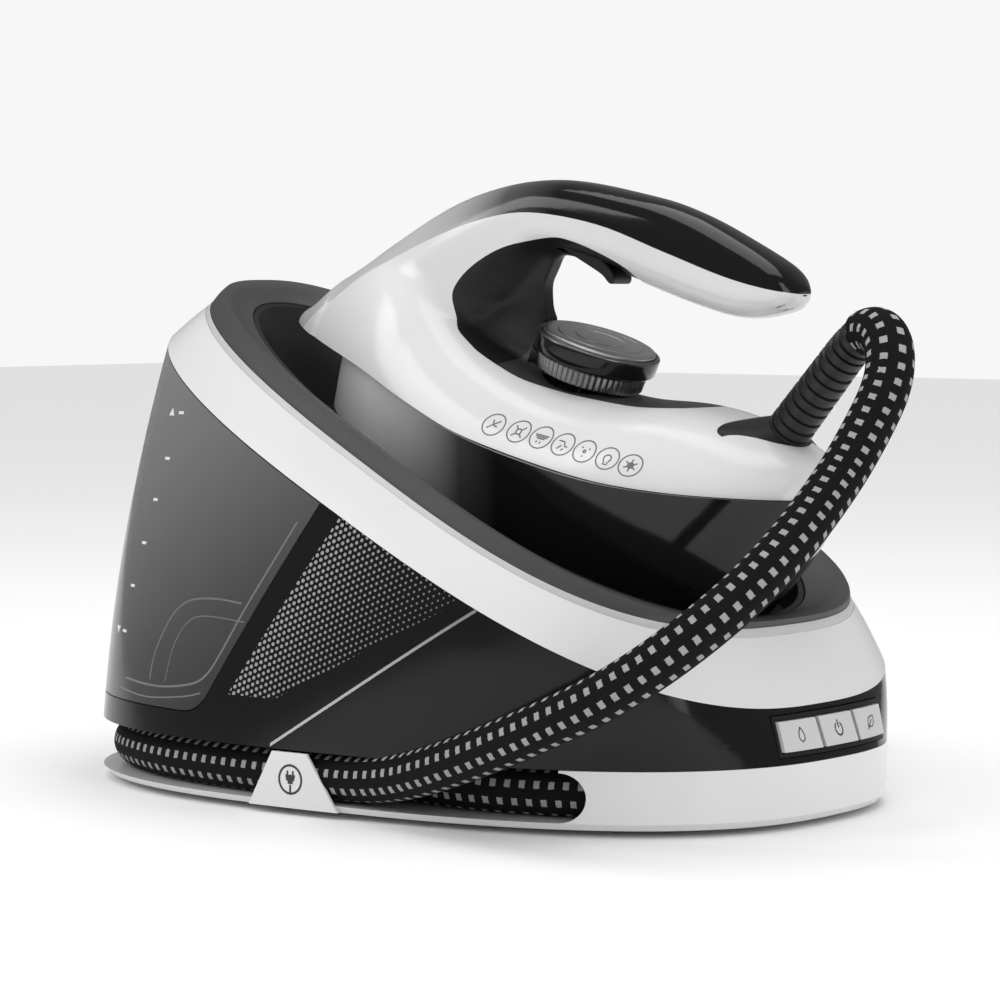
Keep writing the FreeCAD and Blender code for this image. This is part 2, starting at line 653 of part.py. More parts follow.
def dial_sweep():
    return rod(dial_axis_point(21.0), dial_axis_point(-12.0), DIAL_RADIUS + 0.8)


def trigger_pocket():
    return box((-12.0, 36.0), (-8.0, 8.0), (108.0, 131.0))


def steam_trigger():
    outline = [(-6.0, 121.5), (6.0, 119.5), (20.0, 117.0), (28.0, 112.0), (33.0, 112.5), (33.0, 117.5),
               (28.0, 122.5), (10.0, 126.0), (-6.0, 127.0)]
    points = [Vector(s, -7.2, h) for s, h in outline]
    lever = Part.Face(Part.makePolygon(points + points[:1])).extrude(Vector(0, 14.4, 0))
    lever = lever.cut(rod((-2.0, -10.0, 124.0), (-2.0, 10.0, 124.0), 1.7))
    return tilt(lever)


def trigger_pin():
    return tilt(rod((-2.0, -11.0, 124.0), (-2.0, 11.0, 124.0), 1.6))


def steam_switch():
    body = box((12.0, 30.0), (-5.0, 5.0), (131.5, 139.0))
    return tilt(body)


def dial_axis_point(drop):
    at = tilted_point(*DIAL_AT)
    turn = math.radians(DIAL_TILT)
    return (at[0] - math.sin(turn) * drop, 0.0, at[2] - math.cos(turn) * drop)


def dial_plate():
    points = []
    for i in range(36):
        angle = 2.0 * math.pi * i / 36
        c = math.cos(angle)
        width = 27.0 * power(math.sin(angle), 1.15 if c > 0.0 else 0.9)
        points.append(Vector(34.0 + (56.0 if c > 0.0 else 40.0) * c, width, 60.0))
    block = Part.Face(closed_spline(points)).extrude(Vector(0, 0, 40.0))
    skin = dome_solid(-1.6).cut(dome_solid(-0.2))
    plate = tilt(block.common(skin))
    return plate.cut(dial_room(21.0, 40.0)).cut(dial_sweep()).cut(tilt(insert_prism(90.0, 0.4)))


def dial_knob():
    body = cone(dial_axis_point(20.0), dial_axis_point(11.0), 22.5, 25.0)
    return body.fuse(cone(dial_axis_point(11.0), dial_axis_point(3.0), DIAL_RADIUS - 0.6, DIAL_RADIUS))


def dial_cap():
    return cone(dial_axis_point(2.8), dial_axis_point(0.0), DIAL_RADIUS - 1.2, DIAL_RADIUS - 3.0)


def dial_shaft():
    return rod(dial_axis_point(34.0), dial_axis_point(20.0), 3.5)


def iron_thermostat():
    puck = rod(dial_axis_point(44.0), dial_axis_point(34.4), 12.0)
    return puck


def indicator_lens():
    return tilt(rod((111.0, -16.4, 141.0), (111.0, -13.4, 141.0), 2.2))


def boot_axis():
    start = Vector(BOOT_AT[0], 0.0, BOOT_AT[1])
    return start, Vector(*BOOT_TIP)


def gland_room(grow):
    start, tip = boot_axis()
    axis = (tip - start).normalize()
    return Part.makeCylinder(11.5 + grow, 24.0, start - axis * 18.0, axis)


def boot_gland():
    start, tip = boot_axis()
    axis = (tip - start).normalize()
    plug = Part.makeCylinder(11.5, 24.0, start - axis * 18.0, axis)
    collar = Part.makeCone(15.0, 10.4, 9.0, start, axis)
    return plug.fuse(collar)


def hose_boot():
    start, tip = boot_axis()
    axis = (tip - start).normalize()
    length = (tip - start).Length
    core = Part.makeCone(9.6, 8.6, length - 9.2, start + axis * 9.2, axis)
    ribs = []
    for i in range(5):
        at = start + axis * (13.0 + 6.6 * i)
        ribs.append(Part.makeCylinder(10.2 - 0.2 * i, 3.4, at, axis))
    return fuse([core] + ribs)


def iron_screws():
    spots = ((-60.0, 0.0), (60.0, 34.0), (60.0, -34.0), (138.0, 0.0))
    return group([tilt(rod((s, y, 20.3), (s, y, 31.0), 2.0)) for s, y in spots])


# ---- steam hose: straight runs joined by tangent arcs ----------------------------------------------

def rounded_path(points, radii):
    """Wire through the runs of a polyline, each inner corner replaced by a tangent arc."""
    spots = [Vector(*p) for p in points]
    edges = []
    start = spots[0]
    for before, corner, after, radius in zip(spots, spots[1:], spots[2:], radii):
        back = (before - corner).normalize()
        ahead = (after - corner).normalize()
        half_turn = (math.pi - back.getAngle(ahead)) / 2.0
        trim = radius * math.tan(half_turn)
        bisector = (back + ahead).normalize()
        centre = corner + bisector * (radius / math.cos(half_turn))
        arc_start = corner + back * trim
        arc_end = corner + ahead * trim
        arc_middle = centre - bisector * radius
        edges.append(Part.makeLine(start, arc_start))
        edges.append(Part.Arc(arc_start, arc_middle, arc_end).toShape())
        start = arc_end
    edges.append(Part.makeLine(start, spots[-1]))
    return Part.Wire(edges)


def corner_radii(points):
    """Each corner's radius is 0.45 of its shorter run over the tangent of half its turn."""
    spots = [Vector(*p) for p in points]
    radii = []
    for before, corner, after in zip(spots, spots[1:], spots[2:]):
        back = before - corner
        ahead = after - corner
        half_turn = (math.pi - back.getAngle(ahead)) / 2.0
        radii.append(0.45 * min(back.Length, ahead.Length) / math.tan(half_turn))
    return radii


def sweep_circle(path, radius):
    first = path.Edges[0]
    direction = first.tangentAt(first.FirstParameter)
    section = Part.Wire([Part.makeCircle(radius, first.valueAt(first.FirstParameter), direction)])
    return path.makePipeShell([section], True, True)


# the points of the hose's route, from the base's outlet to the iron's strain relief
HOSE_ROUTE = [
    (124, -86.5, 16.6), (95, -98.8, 16.6), (60, -102, 16.6), (18, -96, 16.6), (-26, -94, 16.6), (-70, -90, 16.6),
    (-110, -75, 16.6), (-142, -46, 16.6), (-154, -2, 16.6), (-144, 44, 16.6), (-112, 75, 16.6), (-70, 93, 16.6),
    (-22, 99, 16.6), (26, 104, 16.6), (57, 126, 16.6), (72, 161, 12.5), (67, 198, 10.4), (43, 228, 10.4),
    (7, 241, 10.4), (-30, 233, 10.4), (-59, 208, 10.4), (-77, 174, 10.8), (-98, 139, 13.5), (-128, 110, 16.6),
    (-159, 79, 16.6), (-177, 38, 16.6), (-180, -8, 16.6), (-171, -54, 16.6), (-144, -91, 16.6),
    (-102, -111, 16.6), (-54, -117.8, 16.6), (-6, -118.5, 16.6), (40, -121.6, 18), (84, -132, 30.5),
    (128, -134, 48), (166, -130, 66), (199, -115, 92), (216, -88, 118), (221.5, -52, 149), (227, -38, 170),
    (230.6, -26.2, 189.7), (227.4, -19.8, 205.1), (216.4, -11.6, 212.4), (202.8, -6.2, 209), (194, -5, 199.5)]
# the base-side solid ends in the middle of the run after this point
HOSE_SPLIT = 35


def hose_parts():
    radii = corner_radii(HOSE_ROUTE)
    print("hose corner radii, mm:", [round(r, 1) for r in radii])
    a = Vector(*HOSE_ROUTE[HOSE_SPLIT])
    b = Vector(*HOSE_ROUTE[HOSE_SPLIT + 1])
    middle = tuple((a + b) * 0.5)
    base_points = HOSE_ROUTE[:HOSE_SPLIT + 1] + [middle]
    iron_points = [middle] + HOSE_ROUTE[HOSE_SPLIT + 1:]
    solids = []
    for points, bends in ((base_points, radii[:HOSE_SPLIT]), (iron_points, radii[HOSE_SPLIT:])):
        path = rounded_path(points, bends)
        tube = sweep_circle(path, HOSE_R)
        print("hose length %.1f mm, volume over section times length %.4f"
              % (path.Length, tube.Volume / (math.pi * HOSE_R ** 2 * path.Length)))
        solids.append(tube)
    return solids


# ---- the model -------------------------------------------------------------------------------------

def main():
    os.makedirs("parts", exist_ok=True)
    hose_base, hose_iron = hose_parts()
    parts = {
        "base_pan": base_pan(),
        "hose_clip_tab": hose_clip_tab(),
        "housing_shell": housing_shell(),
        "accent_strips": accent_strips(),
        "panel_bezel": panel_bezel(),
        "top_ring": top_ring(),
        "ring_trim": ring_trim(),
        "rest_deck": rest_deck(),
        "rest_tub": rest_tub(),
        "rest_pads": rest_pads(),
        "tank_seat": tank_seat(),
        "boiler": boiler(),
        "boiler_heater": boiler_heater(),
        "boiler_bracket": boiler_bracket(),
        "boiler_thermostat": boiler_thermostat(),
        "pump": pump(),
        "solenoid_valve": solenoid_valve(),
        "steam_pipe": bent_pipe(STEAM_PIPE, 3.0, 9.0),
        "water_pipe": bent_pipe(WATER_PIPE, 3.0, 9.0),
        "control_board": control_board(),
        "button_switches": button_switches(),
        "feet": feet(),
        "base_screws": base_screws(),
        "hose_outlet": hose_outlet(),
        "mains_gland": mains_gland(),
        "water_tank": water_tank(),
        "tank_flap_pin": tank_flap_pin(),
        "tank_valve": tank_valve(),
        "tank_seal": tank_seal(),
        "tank_filter": tank_filter(),
        "tank_flap": tank_flap(),
        "soleplate": soleplate(),
        "steam_chamber": steam_chamber(),
        "iron_skirt": iron_skirt(),
        "iron_shell": iron_shell(),
        "handle_cover": handle_cover(),
        "handle_insert": handle_insert(),
        "steam_trigger": steam_trigger(),
        "trigger_pin": trigger_pin(),
        "steam_switch": steam_switch(),
        "dial_plate": dial_plate(),
        "dial_knob": dial_knob(),
        "dial_cap": dial_cap(),
        "dial_shaft": dial_shaft(),
        "iron_thermostat": iron_thermostat(),
        "indicator_lens": indicator_lens(),
        "boot_gland": boot_gland(),
        "hose_boot": hose_boot(),
        "iron_screws": iron_screws(),
        "hose_base_side": hose_base,
        "hose_iron_side": hose_iron,
    }
    for name, y in zip(("button_clean", "button_power", "button_eco"), BUTTON_Y):
        parts[name] = button(y)
    for name, shape in parts.items():
        solids = shape.Solids
        print("%-18s solids %d valid %s volume %.0f box %s" % (
            name, len(solids), shape.isValid(), shape.Volume,
            [round(v, 1) for v in (shape.BoundBox.XMin, shape.BoundBox.XMax, shape.BoundBox.YMin,
                                   shape.BoundBox.YMax, shape.BoundBox.ZMin, shape.BoundBox.ZMax)]))
        shape.exportStep("parts/%s.step" % name)


main()
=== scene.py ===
import math

import bmesh
import bpy
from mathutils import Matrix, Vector
from mathutils.bvhtree import BVHTree


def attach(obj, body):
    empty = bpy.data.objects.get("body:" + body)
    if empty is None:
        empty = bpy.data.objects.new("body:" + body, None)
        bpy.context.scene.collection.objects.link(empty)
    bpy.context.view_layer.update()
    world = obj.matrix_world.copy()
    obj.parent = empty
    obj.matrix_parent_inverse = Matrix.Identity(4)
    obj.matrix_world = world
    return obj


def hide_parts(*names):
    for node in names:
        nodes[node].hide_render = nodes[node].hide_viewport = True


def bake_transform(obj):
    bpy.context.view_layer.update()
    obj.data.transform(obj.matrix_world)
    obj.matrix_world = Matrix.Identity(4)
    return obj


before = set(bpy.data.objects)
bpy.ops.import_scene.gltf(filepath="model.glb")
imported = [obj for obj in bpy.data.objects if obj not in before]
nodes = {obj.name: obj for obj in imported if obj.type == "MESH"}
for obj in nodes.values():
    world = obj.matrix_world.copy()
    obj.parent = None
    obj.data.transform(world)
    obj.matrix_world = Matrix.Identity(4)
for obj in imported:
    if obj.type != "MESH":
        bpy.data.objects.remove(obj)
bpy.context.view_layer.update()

# ---- camera
AZIMUTH = math.radians(38.575)
ELEVATION = math.radians(4.011)
DISTANCE = 1.593
TARGET = Vector((0.0, 0.0, 0.120))

back = Vector((math.sin(AZIMUTH) * math.cos(ELEVATION), -math.cos(AZIMUTH) * math.cos(ELEVATION),
               math.sin(ELEVATION)))
lens = bpy.data.cameras.new("camera")
lens.sensor_width = 36.0
lens.lens = 124.2
lens.shift_x = 0.0081
lens.shift_y = 0.0248
lens.clip_end = 20.0
camera = bpy.data.objects.new("camera", lens)
camera.location = TARGET + back * DISTANCE
camera.rotation_euler = (-back).to_track_quat("-Z", "Y").to_euler()
bpy.context.scene.collection.objects.link(camera)
bpy.context.scene.camera = camera

# ---- shapes shared with the CAD: inclined superellipse rims
# (centre x, centre z, half run in x, half drop in z, half width, squareness, taper), in millimetres
BAND_RIM = (7.9, 131.0, 173.2, 80.1, 117.4, 2.68, 0.156)
DECK_RIM = (10.3, 157.1, 153.8, 73.1, 96.3, 2.70, 0.246)
TUB_RIM = (11.2, 156.7, 140.0, 66.5, 84.0, 2.20, 0.25)
MM = 0.001
Y_AXIS = Vector((0.0, 1.0, 0.0))
# the hand iron's own frame: how far its sole tips down towards +X, and how high its origin stands
SOLE_TURN = math.atan(0.4)
SOLE_LIFT = 136.0


def power(value, exponent):
    return math.copysign(abs(value) ** exponent, value)


def rim_point(rim, angle, inset, lift):
    """Point of a rim in the scene, drawn in by inset and raised off its plane by lift."""
    cx, cz, run, drop, half, square, taper = rim
    length = math.hypot(run, drop)
    u = power(math.cos(angle), 2.0 / square)
    v = power(math.sin(angle), 2.0 / square) * (1.0 + taper * u)
    reach = (length - inset) * u
    return Vector((cx + run / length * reach + drop / length * lift,
                   (half - inset) * v,
                   cz - drop / length * reach + run / length * lift)) * MM


def iron_point(s, y, h):
    """Scene point of (s, y, h) in the hand iron's frame: s along the sole, h up from it, in millimetres."""
    c = math.cos(SOLE_TURN)
    k = math.sin(SOLE_TURN)
    return Vector((s * c + h * k, y, SOLE_LIFT - s * k + h * c)) * MM


def iron_frame(point):
    """(s, y, h) in millimetres of a scene point."""
    c = math.cos(SOLE_TURN)
    k = math.sin(SOLE_TURN)
    x = point.x / MM
    z = point.z / MM - SOLE_LIFT
    return x * c - z * k, point.y / MM, x * k + z * c


# ---- meshes
def new_object(name, mesh, material):
    obj = bpy.data.objects.new(name, mesh)
    bpy.context.scene.collection.objects.link(obj)
    mesh.materials.append(material)
    return obj


def smooth(obj, angle=35.0):
    """Shade an object smooth, and keep the edges sharper than the angle."""
    mesh = obj.data
    for polygon in mesh.polygons:
        polygon.use_smooth = True
    marked = bmesh.new()
    marked.from_mesh(mesh)
    limit = math.radians(angle)
    for edge in marked.edges:
        if len(edge.link_faces) == 2 and edge.calc_face_angle(0.0) > limit:
            edge.smooth = False
    marked.to_mesh(mesh)
    marked.free()
    return obj


def grid_mesh(name, rows, material, closed_ring=False):
    """Mesh through rows of points, each a closed loop: closed up to the first row, or else capped."""
    mesh = bpy.data.meshes.new(name)
    count = len(rows[0])
    points = [p for row in rows for p in row]
    faces = []
    last = len(rows) if closed_ring else len(rows) - 1
    for i in range(last):
        a = i * count
        b = ((i + 1) % len(rows)) * count
        for j in range(count):
            k = (j + 1) % count
            faces.append((a + j, a + k, b + k, b + j))
    if not closed_ring:
        faces.append(tuple(reversed(range(count))))
        faces.append(tuple(last * count + j for j in range(count)))
    mesh.from_pydata([tuple(p) for p in points], [], faces)
    mesh.update()
    obj = new_object(name, mesh, material)
    fix = bmesh.new()
    fix.from_mesh(mesh)
    bmesh.ops.recalc_face_normals(fix, faces=fix.faces)
    fix.to_mesh(mesh)
    fix.free()
    return smooth(obj)


def stand_in(obj, body_name, slot, *node_names):
    """Let a piece ride on a body in place of the CAD nodes it replaces."""
    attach(obj, body_name)
    if node_names:
        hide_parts(*node_names)


# ---- materials
class Nodes:
    """Short hand for building one material's node tree."""

    def __init__(self, name):
        self.material = bpy.data.materials.new(name)
        self.material.use_nodes = True
        self.tree = self.material.node_tree
        self.shader = next(n for n in self.tree.nodes if n.type == "BSDF_PRINCIPLED")

    def add(self, kind, **settings):
        node = self.tree.nodes.new(kind)
        for key, value in settings.items():
            setattr(node, key, value)
        return node

    def feed(self, value, socket):
        """Set a socket to a plain value, or link another node's output to it."""
        if isinstance(value, (int, float, tuple)):
            socket.default_value = value
        else:
            self.tree.links.new(value, socket)

    def put(self, name, value):
        """Feed one of the shader's own sockets."""
        self.feed(value, self.shader.inputs[name])

    def position(self):
        return self.add("ShaderNodeTexCoord").outputs["Object"]

    def math(self, operation, *values, clamp=False):
        node = self.add("ShaderNodeMath", operation=operation, use_clamp=clamp)
        for value, socket in zip(values, node.inputs):
            self.feed(value, socket)
        return node.outputs[0]

    def times(self, a, b):
        return self.math("MULTIPLY", a, b)

    def scaled(self, value, factor, offset, clamp=False):
        return self.math("MULTIPLY_ADD", value, factor, offset, clamp=clamp)

    def noise(self, vector, scale, detail, roughness=0.5):
        node = self.add("ShaderNodeTexNoise")
        node.inputs["Scale"].default_value = scale
        node.inputs["Detail"].default_value = detail
        node.inputs["Roughness"].default_value = roughness
        self.feed(vector, node.inputs["Vector"])
        return node.outputs["Fac"]

    def ramp(self, factor, stops):
        node = self.add("ShaderNodeValToRGB")
        elements = node.color_ramp.elements
        while len(elements) < len(stops):
            elements.new(0.5)
        for element, (place, value) in zip(elements, stops):
            element.position = place
            element.color = grey(value)
        self.feed(factor, node.inputs["Fac"])
        return node.outputs["Color"]

    def mix(self, factor, a, b):
        node = self.add("ShaderNodeMix", data_type="RGBA")
        for value, place in ((factor, 0), (a, 6), (b, 7)):
            self.feed(value, node.inputs[place])
        return node.outputs[2]

    def bump(self, height, strength, distance, normal=None):
        node = self.add("ShaderNodeBump")
        node.inputs["Strength"].default_value = strength
        node.inputs["Distance"].default_value = distance
        self.feed(height, node.inputs["Height"])
        if normal is not None:
            self.feed(normal, node.inputs["Normal"])
        return node.outputs["Normal"]

    def separate(self, vector):
        node = self.add("ShaderNodeSeparateXYZ")
        self.feed(vector, node.inputs[0])
        return node.outputs

    def gloss(self, specular, coat, coat_roughness):
        self.put("Specular IOR Level", specular)
        self.put("Coat Weight", coat)
        self.put("Coat Roughness", coat_roughness)


def grey(value, tint=0.0):
    return (value, value, value * (1.0 + tint), 1.0)


def plastic(name, colour, roughness, grain=0.0, coat=0.0, specular=0.5):
    """Moulded plastic: slight colour and gloss variation, a fine moulding grain and a soft waviness."""
    n = Nodes(name)
    place = n.position()
    soft = n.noise(place, 14.0, 2.0)
    fine = n.noise(place, 900.0, 2.0, 0.6)
    dark = tuple(c * 0.96 for c in colour[:3]) + (1.0,)
    n.put("Base Color", n.mix(n.ramp(soft, [(0.3, 0.0), (0.7, 1.0)]), colour, dark))
    low = max(roughness * 0.88, 0.02)
    n.put("Roughness", n.scaled(n.noise(place, 55.0, 4.0), roughness * 0.3, low))
    normal = n.bump(soft, 0.03, 0.002)
    if grain:
        normal = n.bump(fine, grain, 0.0004, normal)
    n.put("Normal", normal)
    n.gloss(specular, coat, 0.05)
    return n.material


def metal(name, colour, roughness, brushed=0.0, axis=(1.0, 1.0, 1.0)):
    """Metal with fine lines in its colour and gloss; axis stretches them, and brushed raises them."""
    n = Nodes(name)
    place = n.position()
    stretch = n.add("ShaderNodeMapping")
    stretch.inputs["Scale"].default_value = axis
    n.feed(place, stretch.inputs["Vector"])
    lines = n.noise(stretch.outputs[0], 700.0, 3.0)
    n.put("Metallic", 1.0)
    dark = tuple(c * 0.9 for c in colour[:3]) + (1.0,)
    n.put("Base Color", n.mix(lines, colour, dark))
    n.put("Roughness", n.scaled(lines, 0.2 * roughness, roughness * 0.9))
    if brushed:
        n.put("Normal", n.bump(lines, brushed, 0.0002))
    return n.material


WHITE = plastic("white_gloss", grey(0.68), 0.22, coat=0.25, grain=0.02)
BLACK_GLOSS = plastic("black_gloss", grey(0.006, 0.1), 0.14, coat=0.1, specular=0.3)
DECK = plastic("deck_soft", grey(0.055), 0.5, grain=0.15)
BLACK_MATTE = plastic("black_textured", grey(0.009), 0.42, grain=0.2, specular=0.35)
INK_DARK = plastic("ink_dark", grey(0.03), 0.5)
INK_GREY = plastic("ink_grey", grey(0.14), 0.5)
INK_PALE = plastic("ink_pale", grey(0.70), 0.5)
TANK_LINE = plastic("tank_line", grey(0.16), 0.2)
TRIM = plastic("trim_satin", grey(0.50), 0.3, grain=0.05)
PLATE_GREY = plastic("plate_grey", grey(0.035), 0.42, grain=0.15)
DIAL_FACE = metal("dial_face", grey(0.55), 0.36, 0.1)
DIAL_RIBS = metal("dial_ribs", grey(0.24), 0.34)
SILVER = metal("silver_strip", grey(0.72), 0.24, 0.05)
STEEL = metal("steel", grey(0.62), 0.3, 0.25, (0.05, 1.0, 1.0))
ALLOY = metal("cast_alloy", grey(0.5), 0.5, 0.4)
BRASS = metal("brass", (0.70, 0.50, 0.22, 1.0), 0.32)
CHROME = metal("chrome", grey(0.8), 0.1)
RUBBER = plastic("rubber", grey(0.010), 0.38, grain=0.2, specular=0.4)
SILICONE = plastic("silicone", grey(0.15), 0.6, grain=0.1, specular=0.3)
INNER = plastic("inner_moulding", (0.52, 0.52, 0.49, 1.0), 0.5, grain=0.2)
BOARD = plastic("circuit_board", (0.03, 0.19, 0.08, 1.0), 0.35)
BUTTON = plastic("button_satin", grey(0.55), 0.33, grain=0.08)


def painted_light_fade(name, slope, start, stops, pale, metallic, roughness, waves, coat_roughness):
    """Gloss black that runs into silver at the nose, along x, as painted light (a painted reflection on the
    cover, painted shade on the skirt); waves is the scale and strength of its waviness.
    """
    n = Nodes(name)
    place = n.position()
    # painted light: the colour is set by x alone, silver at the nose and black towards +X
    fade = n.ramp(n.scaled(n.separate(place)[0], slope, start), stops)
    n.put("Base Color", n.mix(fade, grey(0.005), grey(pale)))
    n.put("Metallic", n.times(fade, metallic))
    n.put("Roughness", n.scaled(fade, 0.2, roughness))
    n.put("Normal", n.bump(n.noise(place, waves[0], 2.0), waves[1], 0.002))
    n.gloss(0.35, 0.1, coat_roughness)
    return n.material


def tank_material():
    """Smoked plastic with painted light: its colour is paler towards its top and its -X side, where the light
    falls.
    """
    n = Nodes("smoked_tank_painted_light")
    place = n.position()
    xyz = n.separate(place)
    soft = n.noise(place, 9.0, 2.0)
    # painted light: the tone brightens upwards and towards -X, standing in for how the light falls on the
    # tank
    level = n.scaled(xyz[0], -2.2, n.scaled(xyz[2], 3.6, -0.16))
    painted_light_tone = n.ramp(level, [(0.0, 0.020), (0.3, 0.075), (0.62, 0.17), (1.0, 0.25)])
    n.put("Base Color", painted_light_tone)
    n.put("Roughness", n.scaled(soft, 0.08, 0.1))
    n.put("Normal", n.bump(soft, 0.03, 0.002))
    n.put("Alpha", 0.86)
    n.gloss(0.35, 0.1, 0.04)
    return n.material


# printed dot field on the housing: it lies between two lines of (x, z), each a point and an across direction,
# and ends at a height, at an x and at a distance from the middle plane, in metres
DOT_PITCH = 0.0030
DOT_ALONG = (0.92, 0.39)
DOT_ACROSS = (-0.39, 0.92)
TANK_SEAM = ((-0.0480, 0.0530), (0.820, -0.572))
SILVER_STRIP = ((-0.0200, 0.0480), (-0.44, 0.90))
FIELD_FLOOR = 0.0500
FIELD_END = 0.0760
FIELD_SIDE = 0.080


def measured(n, x, z, point, direction):
    """How far (x, z) lies from a point along a direction."""
    return n.math("ADD", n.times(n.math("SUBTRACT", x, point[0]), direction[0]),
                  n.times(n.math("SUBTRACT", z, point[1]), direction[1]))


def housing_material():
    """Gloss black with a printed field of small pale dots between the tank's seam and the silver strip."""
    n = Nodes("housing_black")
    place = n.position()
    x, y, z = n.separate(place)[:3]
    soft = n.noise(place, 12.0, 2.0)
    # staggered rows, turned to run along the seam
    u = n.math("DIVIDE", measured(n, x, z, (0.0, 0.0), DOT_ALONG), DOT_PITCH)
    v = n.math("DIVIDE", measured(n, x, z, (0.0, 0.0), DOT_ACROSS), DOT_PITCH * 0.86)
    shift = n.times(n.math("MODULO", n.math("ABSOLUTE", n.math("FLOOR", v)), 2.0), 0.5)
    fu = n.math("SUBTRACT", n.math("FRACT", n.math("ADD", n.math("ADD", u, shift), 400.0)), 0.5)
    fv = n.math("SUBTRACT", n.math("FRACT", n.math("ADD", v, 400.0)), 0.5)
    far = n.math("SQRT", n.math("ADD", n.times(fu, fu), n.times(fv, fv)))
    seam = measured(n, x, z, *TANK_SEAM)
    strip = measured(n, x, z, *SILVER_STRIP)
    aside = n.math("ABSOLUTE", y)
    inside = n.math("LESS_THAN", x, FIELD_END)
    for value, limit in ((seam, 0.0030), (strip, 0.0010), (z, FIELD_FLOOR), (aside, FIELD_SIDE)):
        inside = n.times(inside, n.math("GREATER_THAN", value, limit))
    # the dots are largest and palest beside the seam
    size = n.scaled(seam, -2.4, 0.34, clamp=True)
    light = n.scaled(seam, -5.0, 0.62, clamp=True)
    dot = n.times(n.math("LESS_THAN", far, size), inside)
    n.put("Base Color", n.mix(n.times(dot, light), grey(0.007, 0.1), grey(0.50)))
    n.put("Roughness", n.scaled(dot, 0.2, 0.13))
    n.put("Normal", n.bump(soft, 0.035, 0.002, n.bump(dot, 0.3, 0.0004)))
    n.gloss(0.25, 0.05, 0.06)
    return n.material


# rows of squares round the hose, and how far apart they lie along it, in metres
HOSE_ROWS = 8
HOSE_PITCH = 0.0063


def braid_material():
    """Woven black sleeve with staggered pale squares; u runs along the hose, v round it."""
    n = Nodes("hose_braid")
    uv = n.add("ShaderNodeUVMap", uv_map="UVMap").outputs[0]
    u, v = n.separate(uv)[:2]
    column = n.math("FLOOR", v)
    odd = n.times(n.math("MODULO", column, 2.0), 0.5)
    fu = n.math("ABSOLUTE", n.math("SUBTRACT", n.math("FRACT", n.math("ADD", u, odd)), 0.5))
    fv = n.math("ABSOLUTE", n.math("SUBTRACT", n.math("FRACT", v), 0.5))
    threads = n.math("SINE", n.times(n.math("ADD", u, n.times(v, 0.8)), 50.3))
    cross = n.math("SINE", n.times(n.math("SUBTRACT", u, n.times(v, 0.8)), 50.3))
    weave = n.times(threads, cross)
    rough_edge = n.times(n.noise(n.position(), 1600.0, 2.0), 0.12)
    wide = n.math("LESS_THAN", n.math("ADD", fu, rough_edge), 0.26)
    tall = n.math("LESS_THAN", n.math("ADD", fv, rough_edge), 0.27)
    dot = n.times(wide, tall)
    yarn = n.scaled(weave, 0.18, 0.82)
    worn = n.scaled(n.noise(n.position(), 40.0, 3.0), 0.4, 0.75)
    pale = n.mix(n.times(yarn, worn), grey(0.08), grey(0.42))
    black = n.mix(n.scaled(weave, 0.5, 0.5), grey(0.003), grey(0.010))
    n.put("Base Color", n.mix(dot, black, pale))
    n.put("Roughness", 0.82)
    n.put("Specular IOR Level", 0.15)
    height = n.math("ADD", n.times(weave, 0.25), n.times(dot, 0.6))
    n.put("Normal", n.bump(height, 0.7, 0.0006))
    return n.material


# the handle cover is gloss black; its silver at the nose is a painted reflection
COVER = painted_light_fade("cover_painted_reflection", -12.5, 0.62, [(0.0, 0.0), (0.35, 0.12), (0.7, 0.7), (1.0, 1.0)],
               0.58, 0.3, 0.1, (14.0, 0.03), 0.05)
# the skirt is silver at the nose; its black towards +X, where it sits down in the rest's recess, is painted
# shade
SKIRT = painted_light_fade("skirt_painted_shade", -11.0, 0.55, [(0.0, 0.0), (0.25, 0.05), (0.6, 0.5), (1.0, 1.0)],
               0.78, 0.12, 0.12, (16.0, 0.04), 0.06)
TANK = tank_material()
HOUSING = housing_material()
BRAID = braid_material()

# the looks of the CAD pieces that are kept as they are
LOOKS = (
    (WHITE, ("base_pan", "hose_clip_tab")),
    (HOUSING, ("housing_shell",)),
    (SILVER, ("accent_strips",)),
    (BLACK_MATTE, ("panel_bezel", "rest_tub", "button_switches", "hose_outlet", "steam_switch")),
    (BUTTON, ("button_clean", "button_power", "button_eco")),
    (TANK, ("water_tank", "tank_filter", "tank_flap")),
    (SKIRT, ("iron_skirt",)),
    (SILICONE, ("rest_pads", "water_pipe")),
    (RUBBER, ("feet", "mains_gland", "tank_seal")),
    (STEEL, ("boiler", "soleplate")),
    (ALLOY, ("boiler_bracket", "steam_chamber")),
    (BRASS, ("boiler_heater", "solenoid_valve")),
    (CHROME, ("steam_pipe", "base_screws", "tank_flap_pin", "trigger_pin", "dial_shaft", "iron_screws")),
    (INNER, ("tank_seat", "boiler_thermostat", "pump", "tank_valve", "iron_thermostat")),
    (BOARD, ("control_board",)),
)
for look, node_names in LOOKS:
    for node_name in node_names:
        nodes[node_name].data.materials.clear()
        nodes[node_name].data.materials.append(look)

# ---- hand iron: outer body, handle cover and the concave insert
# (s, h) outlines in the iron's frame, in millimetres: top of the shell, and its seams with skirt and cover
SHELL_TOPS = [(-134, 35.5), (-122, 46), (-107, 66), (-93, 80), (-76, 88), (-57, 86), (-37, 76), (-10, 68),
              (31, 67), (60, 72), (90, 82), (112, 86.5), (132, 87.5), (150, 87), (163, 84), (171, 76)]
SEAM_LINE = [(-150, 29), (-110, 33.5), (-64.6, 37), (-28, 35.8), (0, 35.2), (21, 36.4), (56, 40.7),
             (89, 46.4), (120, 54.6), (150, 64.3), (178, 74), (200, 82)]
COVER_LINE = [(-122, 28), (-101, 56), (-85, 77), (-62, 99), (-38, 118), (-13, 131.5), (24, 140), (62, 142),
              (100, 144), (135, 149.5)]
